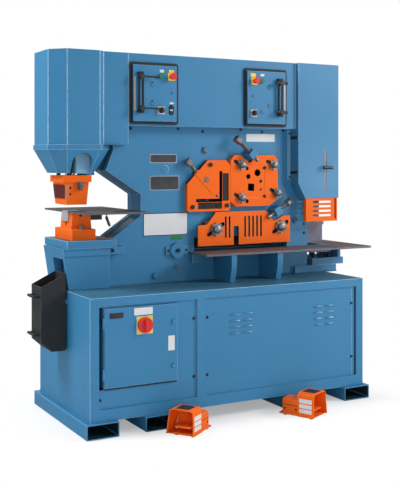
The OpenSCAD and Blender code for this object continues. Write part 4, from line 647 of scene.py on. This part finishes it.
UPPER_SCREW, LOWER_SCREW, HOLD_BAR = (1112.9, 1589), (1499.8, 1200.1), (842, 1390)
HEAD_END, BAR_END, BAR_HEAD_END = 0.0262, -0.004, -0.0655
for name, (x, z), slope, thread in (
        ("upper_hold_screw", UPPER_SCREW, UPPER_SLOPE, UPPER_THREAD),
        ("lower_hold_screw", LOWER_SCREW, LOWER_SLOPE, LOWER_THREAD)):
    run = along(at(x, 0, z), slope)
    dress(name, [HEAD, thread], broken(0.0010, 0.006), by_face=lambda c: int(run(c) > HEAD_END))
bar_run = along(at(HOLD_BAR[0], 0, HOLD_BAR[1]), ANGLE_SLOPE)
dress("angle_hold_down", [ORANGE, HEAD, ANGLE_THREAD], broken(0.0008, 0.010),
      by_face=lambda c: 0 if bar_run(c) > BAR_END else 2 if bar_run(c) > BAR_HEAD_END else 1)
for name in ("treadle_left", "treadle_right"):
    dress(name, [ORANGE], broken(0.0010, 0.010))
near_holder = within((-FAR, -FAR, -FAR), (200, FAR, 1200))
# Away from the die holder the fasteners take blackened steel: dark bolts, and on the posts in the hood's arch
# a painted shade that hides them.
dress("fasteners", [ZINC, DARK], broken(0.0010, 0.006), by_face=lambda c: 1 - near_holder(c))
print("metal pieces dressed")

# %% [markdown]
# Control parts are small, so that even their short edges are rounded. A solid of several loose pieces gets
# its finishes by each piece's size and place.

# %% Controls
for names, material, passes in (
        (("estop_left", "estop_right", "disconnect_dial"), RED, broken(0.0012, 0.002)),
        (("start_left", "start_right"), GREEN, broken(0.0008, 0.001)),
        (("selector_left", "selector_right", "stop_left_upper", "stop_left_lower", "stop_right_upper",
          "stop_right_lower"), BLACK, broken(0.0008, 0.002))):
    for name in names:
        dress(name, [material], passes)
RING_WIDTH, BAR_HEIGHT, BUTTON_ROW = 0.2, 0.15, 1.85


def ring_plate_or_bar(low, high):
    size = high - low
    if size.x > RING_WIDTH:
        return 0
    if size.z > BAR_HEIGHT:
        return 3
    return 1 if low.z > BUTTON_ROW else 2


dress("control_fittings", [RUBBER, YELLOW, SILVER, DARK], broken(0.0010, 0.006), ring_plate_or_bar)
dress("enclosure_door", [BLUE, YELLOW], broken(0.0014, 0.012),
      by_face=within((263.5, -FAR, 524.5), (362.5, -4.4, 623.5)))
dress("notcher_guard", [ORANGE, BLACK], SHEET, by_face=within((-FAR, -FAR, -FAR), (FAR, 327, FAR)))
print("controls dressed")

# %% [markdown]
# A machine of this kind carries dozens of screws and bolts, and they all follow one rule: a head stands on a
# point and looks along the surface's normal. Modelling each by hand would be slow, so a Geometry Nodes tree
# makes one head from a circle that is extruded a few times, sets a copy on each point and turns it to the
# stored direction. The result is realised and kept as a plain mesh, one piece for each body.


# %% A tree that sets heads on points
def new_tree(name, inputs):
    tree = bpy.data.node_groups.new(name, "GeometryNodeTree")
    tree.interface.new_socket("Geometry", in_out="INPUT", socket_type="NodeSocketGeometry")
    for label, kind, value in inputs:
        tree.interface.new_socket(label, in_out="INPUT", socket_type=kind).default_value = value
    tree.interface.new_socket("Finish", in_out="INPUT", socket_type="NodeSocketMaterial")
    tree.interface.new_socket("Geometry", in_out="OUTPUT", socket_type="NodeSocketGeometry")
    return tree, tree.nodes.new("NodeGroupInput").outputs


def close_tree(tree, given, points, instance, **more):
    spread = node(tree, "GeometryNodeInstanceOnPoints", {"Points": points, "Instance": instance, **more})
    whole = node(tree, "GeometryNodeRealizeInstances", {"Geometry": spread}).outputs[0]
    painted = node(tree, "GeometryNodeSetMaterial", {"Geometry": whole, "Material": given["Finish"]})
    node(tree, "NodeGroupOutput", {"Geometry": painted})
    print("tree", tree.name, len(tree.nodes), "nodes")


def grown(tree, source, chosen, rise, scale):
    up = node(tree, "GeometryNodeExtrudeMesh", {"Mesh": source, "Offset Scale": rise}, mode="FACES")
    if chosen is not None:
        tree.links.new(chosen, up.inputs["Selection"])
    top = up.outputs["Top"]
    ins = {"Geometry": up.outputs["Mesh"], "Selection": top, "Scale": scale}
    return node(tree, "GeometryNodeScaleElements", ins).outputs[0], top


INT = "NodeSocketInt"
SHANK_SHARE, RECESS_TAPER, SEAM = 0.75, 0.95, 0.00001
heads_tree, given = new_tree("heads_on_points", [
    ("Sides", INT, 6), ("Radius", VALUE, 0.008), ("Height", VALUE, 0.006), ("Chamfer", VALUE, 0.86),
    ("Recess", VALUE, 0.5), ("Recess depth", VALUE, 0.003)])
tree = heads_tree
ring = {"Vertices": given["Sides"], "Radius": given["Radius"]}
disc = node(tree, "GeometryNodeMeshCircle", ring, fill_type="NGON").outputs[0]
low = times(tree, given["Height"], SHANK_SHARE)
rest = times(tree, given["Height"], 1 - SHANK_SHARE)
sunk = times(tree, given["Recess depth"], -1.0)
shape, top = disc, None
for rise, scale in ((low, 1.0), (rest, given["Chamfer"]), (0.0, given["Recess"]), (sunk, RECESS_TAPER)):
    shape, top = grown(tree, shape, top, rise, scale)
under = node(tree, "GeometryNodeFlipFaces", {"Mesh": disc})
shape = node(tree, "GeometryNodeJoinGeometry", {"Geometry": shape})
tree.links.new(under.outputs[0], shape.inputs["Geometry"])
shape = node(tree, "GeometryNodeMergeByDistance", {"Geometry": shape, "Distance": SEAM}).outputs[0]
mark = node(tree, "GeometryNodeInputNamedAttribute", {"Name": "facing"}, data_type="FLOAT_VECTOR")
turn = node(tree, "FunctionNodeAlignRotationToVector", {"Vector": mark}, axis="Z")
close_tree(tree, given, given["Geometry"], shape, Rotation=turn)


# %% From a tree to a plain mesh
def grow(name, tree, points, body, values, edges=(), facing=None):
    mesh = bpy.data.meshes.new(name)
    mesh.from_pydata([tuple(p) for p in points], list(edges), [])
    if facing is not None:
        mark = mesh.attributes.new("facing", "FLOAT_VECTOR", "POINT")
        for item in mark.data:
            item.vector = facing
    made = bpy.data.objects.new(name, mesh)
    scene.collection.objects.link(made)
    step = made.modifiers.new("grow", "NODES")
    step.node_group = tree
    for item in tree.interface.items_tree:
        if item.in_out == "INPUT" and item.name in values:
            step[item.identifier] = values[item.name]
    plain(made, name)
    print(name, len(made.data.polygons), "faces")
    return keep(made, body)


FRONT, BACK, UP = (0, -1, 0), (0, 1, 0), (0, 0, 1)


def heads(name, places, material, radius, height, sides=6, recess=0.5, depth=2.5, chamfer=0.86, facing=FRONT,
          body="machine"):
    return grow(name, heads_tree, [p if isinstance(p, Vector) else at(*p) for p in places], body, {
        "Sides": sides, "Radius": radius / 1000, "Height": height / 1000, "Chamfer": chamfer,
        "Recess": recess, "Recess depth": depth / 1000, "Finish": material}, facing=facing)


def on_face(y, *places):
    return [(x, y, z) for x, z in places]


PANEL, PLATE_FACE, HEX_TOP = 10, 417, 404
heads("panel_screws", on_face(
    PANEL, (622, 582), (622, 260), (60, 194), (706, 581), (706, 259), (1718, 586), (1718, 259)),
    BLACK, 8, 5, sides=20, recess=0.42)
heads("frame_small_screws", on_face(
    PLATE_FACE, (420, 1647), (733, 1651), (1171, 1652), (1488, 1652), (901, 1636), (1329, 1641),
    (1536, 1633), (1538, 1353), (1651, 1120), (1651, 1049), (1651, 990)), DARK, 8, 6, sides=20)
heads("frame_hex_bolts", on_face(PLATE_FACE, (581, 778), (916, 1523), (1581, 1074)), BLUE, 21, 13,
      recess=0.55, depth=0.6)
heads("frame_socket_bolts", on_face(PLATE_FACE, (724, 823)) + on_face(HEX_TOP, (916, 1523), (1581, 1074)),
      HEAD, 13, 6, sides=24, recess=0.55, depth=4.5)
heads("frame_plugs", on_face(PLATE_FACE, (643, 1407), (724, 823)), BLUE, 24, 2.5, sides=32, recess=0.8,
      depth=0.8)

# %% [markdown]
# The right panel breathes through two fields of pressed louvres. Each louvre is a slot with a small hood
# that the press pushes out of the sheet. One quarter of a stretched ball has that shape, so the tree
# stretches a ball, flattens its lower half and sets it over the upper edge of every slot.

# %% Louvre hoods
LOUVRES = [(x, z) for x in (887, 973, 1471, 1556) for z in (580, 544, 508, 472)]
hood_tree, given = new_tree("pressed_hoods", [
    ("Length", VALUE, 0.07), ("Rise", VALUE, 0.006), ("Height", VALUE, 0.012)])
tree = hood_tree
ball = node(tree, "GeometryNodeMeshUVSphere", {"Segments": 24, "Rings": 12, "Radius": 1.0})
long = times(tree, given["Length"], 0.5)
size = node(tree, "ShaderNodeCombineXYZ", {0: long, 1: given["Rise"], 2: given["Height"]})
lens = node(tree, "GeometryNodeTransform", {"Geometry": ball.outputs["Mesh"], "Scale": size})
where = node(tree, "ShaderNodeSeparateXYZ", {0: node(tree, "GeometryNodeInputPosition").outputs[0]}).outputs
below = node(tree, "FunctionNodeCompare", {0: where["Z"], 1: -0.0001}, data_type="FLOAT",
             operation="LESS_THAN").outputs[0]
flat = node(tree, "ShaderNodeCombineXYZ", {0: where["X"], 1: where["Y"], 2: 0.0}).outputs[0]
ins = {"Geometry": lens, "Selection": below, "Position": flat}
half = node(tree, "GeometryNodeSetPosition", ins)
close_tree(tree, given, given["Geometry"], half)
grow("louvre_hoods", hood_tree, [at(x, PANEL, z) for x, z in LOUVRES], "machine",
     {"Length": 0.076, "Rise": 0.007, "Height": 0.0095, "Finish": GLOSS})

# %% [markdown]
# The frame, the braces and the notcher's blocks are welded to the deck, and the base to its skids. A weld
# bead is a row of overlapping drops along a seam. The tree walks along a line at an even pitch and leaves a
# ball at each step, a little larger or smaller by a fixed seed, as a welder's hand would.

# %% Weld beads
DROP_LEAST, DROP_MOST = 0.75, 1.12
bead_tree, given = new_tree("bead_on_seam", [
    ("Pitch", VALUE, 0.006), ("Radius", VALUE, 0.006), ("Seed", INT, 7)])
tree = bead_tree
seam = node(tree, "GeometryNodeMeshToCurve", {"Mesh": given["Geometry"]})
walk = {"Curve": seam, "Length": given["Pitch"]}
steps = node(tree, "GeometryNodeResampleCurve", walk, mode="LENGTH")
drop = node(tree, "GeometryNodeMeshIcoSphere", {"Radius": given["Radius"], "Subdivisions": 1})
sizes = {2: DROP_LEAST, 3: DROP_MOST, "Seed": given["Seed"]}
size = node(tree, "FunctionNodeRandomValue", sizes, data_type="FLOAT")
close_tree(tree, given, steps, drop, Scale=size.outputs[1])
ON_DECK, ON_SKID = 736, 82
SEAMS = [(264, 416, 1560, 416, ON_DECK), (1568, 387, 1888, 387, ON_DECK), (1891, 390, 1891, 636, ON_DECK),
         (-1, 10, -1, 790, ON_SKID), (2, -1, 156, -1, ON_SKID), (316, -1, 494, -1, ON_SKID),
         (1229, -1, 1407, -1, ON_SKID), (1646, -1, 1798, -1, ON_SKID), (1801, 10, 1801, 790, ON_SKID),
         (977, 196, 977, 414, ON_DECK), (1303, 196, 1303, 414, ON_DECK), (264, 610, 1560, 610, ON_DECK)]
ends = [at(x, y, z) for x0, y0, x1, y1, z in SEAMS for x, y in ((x0, y0), (x1, y1))]
grow("weld_beads", bead_tree, ends, "machine", {"Pitch": 0.0065, "Radius": 0.0048, "Seed": 7, "Finish": BLUE},
     edges=[(2 * k, 2 * k + 1) for k in range(len(SEAMS))])

# %% [markdown]
# Plates, cards and labels are blank on this part. Each is a real one: a thin metal or plastic sheet with
# rounded corners and softened edges, and four small rivets hold the metal ones on the frame.


# %% Blank plates
SOFT_SHARE, SOFT_MOST = 0.35, 1.2


def close_rings(name, work, rings, material, body):
    for low, high in zip(rings, rings[1:]):
        for k in range(len(low)):
            work.faces.new((low[k - 1], low[k], high[k], high[k - 1]))
    work.faces.new(rings[0])
    work.faces.new(rings[-1])
    bmesh.ops.recalc_face_normals(work, faces=work.faces)
    return keep(settle(name, work, [material]), body)


def sheet(name, u0, u1, v0, v1, spot, thick, material, body="machine", corner=4.0):
    work, rings = bmesh.new(), []
    soft = min(SOFT_SHARE * thick, SOFT_MOST)
    for inset, rise in ((0, 0), (0, thick - soft), (soft, thick)):
        rings.append([])
        for cu, cv, start in ((u1 - corner, v1 - corner, 0), (u0 + corner, v1 - corner, 90),
                              (u0 + corner, v0 + corner, 180), (u1 - corner, v0 + corner, 270)):
            for k in range(4):
                a, r = math.radians(start + 30 * k), corner - inset
                rings[-1].append(work.verts.new(spot(cu + r * math.cos(a), cv + r * math.sin(a), rise)))
    return close_rings(name, work, rings, material, body)


def blank_plate(name, x0, x1, z0, z1, y, thick, material, body="machine", corner=4.0):
    return sheet(name, x0, x1, z0, z1, lambda u, v, d: at(u, y - d, v), thick, material, body, corner)


def boxes(name, corners, material, body="machine", edge=0.0008):
    work = bmesh.new()
    for low, high in corners:
        a, b = at(*low), at(*high)
        for vert in bmesh.ops.create_cube(work, size=1.0)["verts"]:
            vert.co = Vector([a[k] if vert.co[k] < 0 else b[k] for k in range(3)])
    round_edges(work, edge, 0.004)
    return keep(settle(name, work, [material]), body)


RIVET_IN, RIM, RIM_T, FACE_T = 8, 3, 1.0, 0.8
for name, x0, x1, z0, z1 in (
        ("frame_plate_upper", 546, 723, 1445, 1497), ("frame_plate_lower", 546, 739, 1283, 1368)):
    blank_plate(name + "_rim", x0, x1, z0, z1, PLATE_FACE, RIM_T, SILVER)
    blank_plate(name, x0 + RIM, x1 - RIM, z0 + RIM, z1 - RIM, PLATE_FACE - RIM_T, FACE_T, PLATE, corner=3)
    places = [(x, z) for x in (x0 + RIVET_IN, x1 - RIVET_IN) for z in (z0 + RIVET_IN, z1 - RIVET_IN)]
    heads(name + "_rivets", on_face(PLATE_FACE - RIM_T - FACE_T, *places), ZINC, 2.4, 1.2, sides=12,
          recess=0.6, depth=0.0, chamfer=0.6)
blank_plate("frame_card_edge", 501, 799, 1012, 1148, PLATE_FACE, 0.8, BLACK)
blank_plate("frame_card", 506, 794, 1017, 1143, PLATE_FACE - 0.8, 0.6, PALE_PLATE)
blank_plate("frame_tag", 681, 765, 984, 1008, PLATE_FACE, 0.8, GREEN)
blank_plate("cover_card", 1214, 1426, 1578, 1627, PLATE_FACE, 0.8, PALE_PLATE)
DOOR_FACE = -4
for name, x0, x1, z0, z1, thick, material in (
        ("door_name_plate", 109, 189, 621, 651, 1.2, PLATE),
        ("door_rating_card", 252, 362, 629, 668, 0.6, PALE_PLATE),
        ("door_small_card", 456, 495, 421, 502, 0.6, PALE_PLATE)):
    blank_plate(name, x0, x1, z0, z1, DOOR_FACE, thick, material, body="enclosure_door_body", corner=2)
print("blank plates placed")

# %% [markdown]
# Thin strips laid along the edges paint light and shade on the base. Pale blue strips on the panels'
# sheet edges are painted highlights, and black strips in a panel gap and under the door are painted shadow
# lines.

# %% Base trims
boxes("panel_edge_highlights", [((1719, 8.8, 150), (1722, 10, 684)), ((634, 8.8, 150), (636.5, 10, 684))],
      PAINTED_HIGHLIGHT_BLUE, edge=0.0003)
boxes("panel_shadow_gaps", [((1740, 9.2, 148), (1746, 10, 686))], BLACK, edge=0.0002)
boxes("door_shadow_strip", [((82, 2, 245), (512, 9.5, 252.5))], RUBBER)
print("trims placed")

# %% [markdown]
# Each control face has a few small fittings beside its buttons: round plugs in spare holes, a small oval
# switch, and a pale strip with tick marks along the slotted bar, against which the stroke is set. The ticks
# are one small bar repeated along the strip.

# %% Control face fittings
CONTROL, SWITCH_T, TICK_PITCH = 326, 2.0, 8
PLUGS = on_face(CONTROL, (518, 1899), (518, 1792), (1326, 1914), (1326, 1800), (1272, 1760))
heads("control_plug_seats", PLUGS, DARK, 13, 1.0, sides=24, recess=0.9, depth=0.2)
# The ring round the plug is a painted highlight.
heads("frame_plug_ring", on_face(PLATE_FACE, (645, 1408)), PAINTED_HIGHLIGHT_BLUE, 26, 1.5, sides=32, recess=0.86, depth=0.8)
for name, x0, x1, z0, z1, material in (
        ("left_start_label", 566, 593, 1973, 1990, PALE_PLATE),
        ("left_stop_label", 626, 660, 1975, 1991, YELLOW),
        ("right_start_label", 1261, 1289, 1982, 1997, PALE_PLATE),
        ("right_stop_label", 1190, 1227, 1976, 1998, YELLOW),
        ("oval_switch_label", 631, 657, 1791, 1801, PALE_PLATE)):
    blank_plate(name, x0, x1, z0, z1, CONTROL, 0.6, material, corner=2)
heads("control_plugs", PLUGS, BLUE, 11, 2.5, sides=24, recess=0.7, depth=0.8)
heads("control_small_screws", on_face(CONTROL, (518, 1914), (518, 1807), (644, 1855), (1205, 1858)), DARK,
      4.5, 2.5, sides=16, depth=1.2)
blank_plate("oval_switch_plate", 625, 658, 1724, 1786, CONTROL, SWITCH_T, BLACK, corner=16)
heads("oval_switch_caps", on_face(CONTROL - SWITCH_T, (641.5, 1770), (641.5, 1740)), BLACK, 11, 5, sides=24,
      recess=0.75, depth=1.0)
blank_plate("oval_switch_lens", 631, 652, 1750, 1760, CONTROL - SWITCH_T, 1.5, SILVER)
blank_plate("left_scale_strip", 400, 412, 1748, 1944, CONTROL, 0.8, SILVER, corner=2)
blank_plate("right_scale_strip", 1436, 1448, 1764, 1956, CONTROL, 0.8, SILVER, corner=2)

tick_tree, given = new_tree("ticks_on_points", [("Size", VECTOR, (0.006, 0.0004, 0.0012))])
bar = node(tick_tree, "GeometryNodeMeshCube", {"Size": given["Size"]})
close_tree(tick_tree, given, given["Geometry"], bar.outputs["Mesh"])
TICKS = [at(x, CONTROL - 0.9, z) for x, z0, z1 in ((404, 1752, 1940), (1442, 1757, 1956))
         for z in range(z0, z1, TICK_PITCH)]
grow("scale_ticks", tick_tree, TICKS, "machine", {"Size": (0.008, 0.0004, 0.0016), "Finish": BLACK})
print("control fittings placed")

# %% [markdown]
# Round the punch there are a few small fittings: the red window's two sheets and the screws that hold them,
# a cap screw under the stripper's flange, a screw in the die holder, a folded shroud in the hood's arch, and
# a bent clamp lever under the table. The lever is a tube swept along a short path, thicker at its grip, as
# a forged lever is.


# %% Punch fittings
def swept(name, path, radii, material, body="machine", sides=12):
    work, rings = bmesh.new(), []
    for k, point in enumerate(path):
        ahead = path[min(k + 1, len(path) - 1)] - path[max(k - 1, 0)]
        turn, r = ahead.to_track_quat("Z", "Y").to_matrix(), radii[k]
        ring = [2 * math.pi * s / sides for s in range(sides)]
        rings.append([work.verts.new(point + turn @ Vector((r * math.cos(a), r * math.sin(a), 0)))
                      for a in ring])
    return close_rings(name, work, rings, material, body)


STRIP_FACE = 419
heads("window_screws", on_face(STRIP_FACE, (49, 1304), (49, 1269)), DARK, 6, 3, sides=20, depth=2)
heads("holder_screw", [(112, 425, 1146)], DARK, 7, 3, sides=20, depth=2)
swept("stripper_cap_screw", [at(107, 409, z) for z in (1292, 1295, 1310, 1311, 1314, 1315, 1337)],
      [0.013, 0.0165, 0.0165, 0.013, 0.013, 0.019, 0.019], TOOL, sides=6)
sheet("window_side", 421, 601, 1243, 1322,
      lambda u, v, d: at(26.5 - 15 * (v - 1208) / 129 - d, u, v), 2.5, WINDOW, corner=3)
sheet("window_front", 17, 40, 1243, 1322, lambda u, v, d: at(u, STRIP_FACE - d, v), 2.0, CLEAR, corner=3)
# The shroud's lighter blue is a painted highlight in the arch.
sheet("ram_shroud", 70, 168, 390, 440, lambda u, v, d: at(u, v, 1386 + d), 128, PAINTED_HIGHLIGHT_BLUE, corner=10)
LEVER = ((178, 200, 1161), (178, 200, 1150), (178, 199, 1143), (182, 194, 1128), (186, 188, 1112),
         (190, 183, 1098))
swept("table_clamp_lever", [at(*p) for p in LEVER], [0.007, 0.007, 0.0085, 0.0075, 0.0085, 0.006], BLACK)
print("punch fittings placed")

# %% [markdown]
# The shears carry a few more pieces: a face, a bolt and a rounded nose on the angle shear's hold-down bar,
# heads on the hold-down screws, sunk screws in the rod shear plate, two bolts in the lower angle blade, dark
# edges in the angle shear's slot, and a strip of brighter orange on the notcher's guard. That strip is
# painted light where the slot shades the guard. Folded strips close the joints between the frame and the
# notcher's housing.

# %% Shear fittings
PLATE_FRONT, SCREW_FRONT, DIAGONAL = 385, 359, math.radians(ANGLE_SLOPE)
ANGLE_BODY, ROD_BODY = "angle_hold_down_body", "rod_shear_plate_body"
heads("hold_bar_bolt", [(910, PLATE_FRONT, 1342)], ZINC, 17, 7, sides=32, recess=0.62, depth=1.2,
      body=ANGLE_BODY)
heads("hold_bar_nose", [(982, 392, 1250)], ZINC, 13, 15, sides=24, recess=0.4, depth=0.0, chamfer=0.62,
      facing=(0.707, 0, -0.707), body=ANGLE_BODY)
heads("rod_plate_screws", on_face(PLATE_FRONT, (1328, 1415), (1330, 1235)), DARK, 11, 3, sides=24, recess=0.6,
      depth=2.8, body=ROD_BODY)
heads("rod_plate_small_screws", on_face(PLATE_FRONT, (1304, 1330), (1304, 1279)), DARK, 6, 2, sides=20,
      depth=1.5, body=ROD_BODY)
heads("blade_bolts", on_face(393, (898, 1187), (987, 1185)), DARK, 8, 4, sides=20, recess=0.55, depth=3)
# The joint strips' lighter blue is a painted highlight.
blank_plate("housing_joint_strip", 1521, 1545, 1340, 1656, PLATE_FACE, 4, PAINTED_HIGHLIGHT_BLUE, corner=3)
blank_plate("cover_joint_strip", 1533, 1543, 1664, 2076, 348, 2, PAINTED_HIGHLIGHT_BLUE, corner=2)
for name, z in (("housing_tab_upper", 1604), ("housing_tab_lower", 1383)):
    sheet(name, 340, 412, z - 9, z + 9, lambda u, v, d: at(1546 - d, u, v), 4, DARK, corner=3)


def on_bar(run, across, d):
    return at(HOLD_BAR[0] + run * math.cos(DIAGONAL) + across * math.sin(DIAGONAL), PLATE_FRONT - d,
              HOLD_BAR[1] - run * math.sin(DIAGONAL) + across * math.cos(DIAGONAL))


sheet("hold_bar_face", 4, 176, -18, 18, on_bar, 3, ORANGE, body=ANGLE_BODY, corner=3)
for name, (x, z), y, slope, rise, body in (
        ("angle_screw_head", (777, 1455), PLATE_FRONT, ANGLE_SLOPE, 8, ANGLE_BODY),
        ("upper_screw_head", UPPER_SCREW, SCREW_FRONT, UPPER_SLOPE, 14, "upper_hold_screw_body"),
        ("lower_screw_head", LOWER_SCREW, SCREW_FRONT, LOWER_SLOPE, 4, "lower_hold_screw_body")):
    a = math.radians(slope)
    heads(name, [(x, y, z)], HEAD, 27, rise, recess=0.7, depth=0.4, chamfer=0.9,
          facing=(-math.cos(a), 0, math.sin(a)), body=body)
boxes("angle_slot_edges", [
    ((1021.2, 386, 1222), (1022.2, 416, 1396)), ((840, 386, 1205.8), (1020, 416, 1206.8))], DARK, edge=0.0002)
# A brighter orange strip is painted light on the guard behind the slot.
boxes("guard_slot_painted_light", [((1752, 328.4, 1240), (1765, 328.9, 1541))], PAINTED_LIGHT_ORANGE, body="notcher_guard_body",
      edge=0.0001)
print("shear fittings placed")

# %% [markdown]
# Each star knob is cast with a domed hub. The dome is a disc that shrinks in steps as it rises, so its
# outline is a smooth curve, and it turns with its own knob.

# %% Knob domes
DOME_SHARE = 0.30
DOME_CURVE = [(1.0, -0.0005), (0.985, 0.0010), (0.90, 0.0032), (0.72, 0.0055), (0.45, 0.0072), (0.18, 0.0079)]
for name in KNOBS:
    low, high = node_span(name)
    middle, wide = (low + high) / 2, DOME_SHARE * (high.x - low.x)
    swept(name + "_dome", [Vector((middle.x, low.y - rise, middle.z)) for share, rise in DOME_CURVE],
          [wide * share for share, rise in DOME_CURVE], CAST, body=body_of[name], sides=28)
print("knob domes placed")

# %% [markdown]
# Bars that pass through the shears come out at the back. Rubber flaps hang there on rails, so that the
# passages look dark from the front.

# %% Flaps behind the passages
RAIL_BACK, FLAP_T, FLAP_H = 612, 3, 90
boxes("rear_rails", [
    ((850, 609, 988), (1664, 652, 996)), ((850, 609, 960), (1664, RAIL_BACK, 996)),
    ((890, 609, 1262), (1180, 632, 1268)), ((890, 609, 1246), (1180, RAIL_BACK, 1268))], BLUE)
# The near-black rubber flaps stand as painted shade seen through the passages.
for name, left, pitch, wide, count, y, low in (
        ("rear_bar_flaps", 850, 101.75, 101, 8, 646, 898), ("rear_angle_flaps", 890, 97, 96, 3, 626, 1172)):
    lefts = [left + pitch * k for k in range(count)]
    boxes(name, [((x, y, low), (x + wide, y + FLAP_T, low + FLAP_H)) for x in lefts], RUBBER, edge=0.0006)
heads("rear_rail_screws", on_face(
    RAIL_BACK, (880, 972), (1120, 972), (1390, 972), (1640, 972), (910, 1256), (1160, 1256)),
    DARK, 6, 4, sides=16, facing=BACK)
print("flaps placed")

# %% [markdown]
# A foot pedal's guard is a pressed cover with a rubber pad on top and blank labels on its side. The switch
# housing behind it closes with a lid, whose joint shows as a dark line. All these are thin sheets laid on
# the pedals' own faces, so a small helper turns places along and across a pedal into the frame.


# %% Pedal fittings
PEDALS = {"left_pedal": (482, -246, 35, 1), "right_pedal": (1233, -272, 116, -1)}
PEDAL_TOP, PEDAL_FLOOR, BACK_WALL, LID_SIDE = 143, 9, 104.2, 12


def on_pedal(name, run, across, z):
    x, y, turn, side = PEDALS[name]
    a, across = math.radians(turn), side * across
    return at(x + run * math.cos(a) - across * math.sin(a), y + run * math.sin(a) + across * math.cos(a), z)


def flared(u, v):
    return 6 + (u - 6) * (1.074 - v / 1128)


for name in PEDALS:
    sheet(name + "_pad", 12, 92, 34, 112,
          lambda u, v, d: on_pedal(name, u, v, PEDAL_TOP + d), 1.6, RUBBER, corner=6)
    for k, (low, high) in enumerate(((86, 110), (58, 80), (30, 52))):
        sheet(name + "_blank_label_" + str(k + 1), 12, 92, low, high,
              lambda u, v, d: on_pedal(name, u, -d, v), 0.6, PALE_PLATE, corner=2)
    sheet(name + "_back", 6, 148, 10, 128,
          lambda u, v, d: on_pedal(name, BACK_WALL + d, flared(u, v), v), 2, ORANGE, corner=8)
    sheet(name + "_floor", 4, 102, 6, 157,
          lambda u, v, d: on_pedal(name, u, v, PEDAL_FLOOR + d), 2, ORANGE, corner=6)
    sheet(name + "_lid_joint", 106, 206, 60, 63,
          lambda u, v, d: on_pedal(name, u, LID_SIDE - d, v), 0.6, BLACK, corner=1)
    outward = on_pedal(name, 0, -1, 0) - on_pedal(name, 0, 0, 0)
    heads(name + "_lid_screws", [on_pedal(name, u, LID_SIDE, 40) for u in (120, 194)], DARK, 5, 3, sides=20,
          depth=1.5, facing=tuple(outward.normalized()))
    heads(name + "_tab_bolt", [on_pedal(name, 217, 26, 14)], ZINC, 7, 6, depth=1, facing=UP)
print("pedal fittings placed")
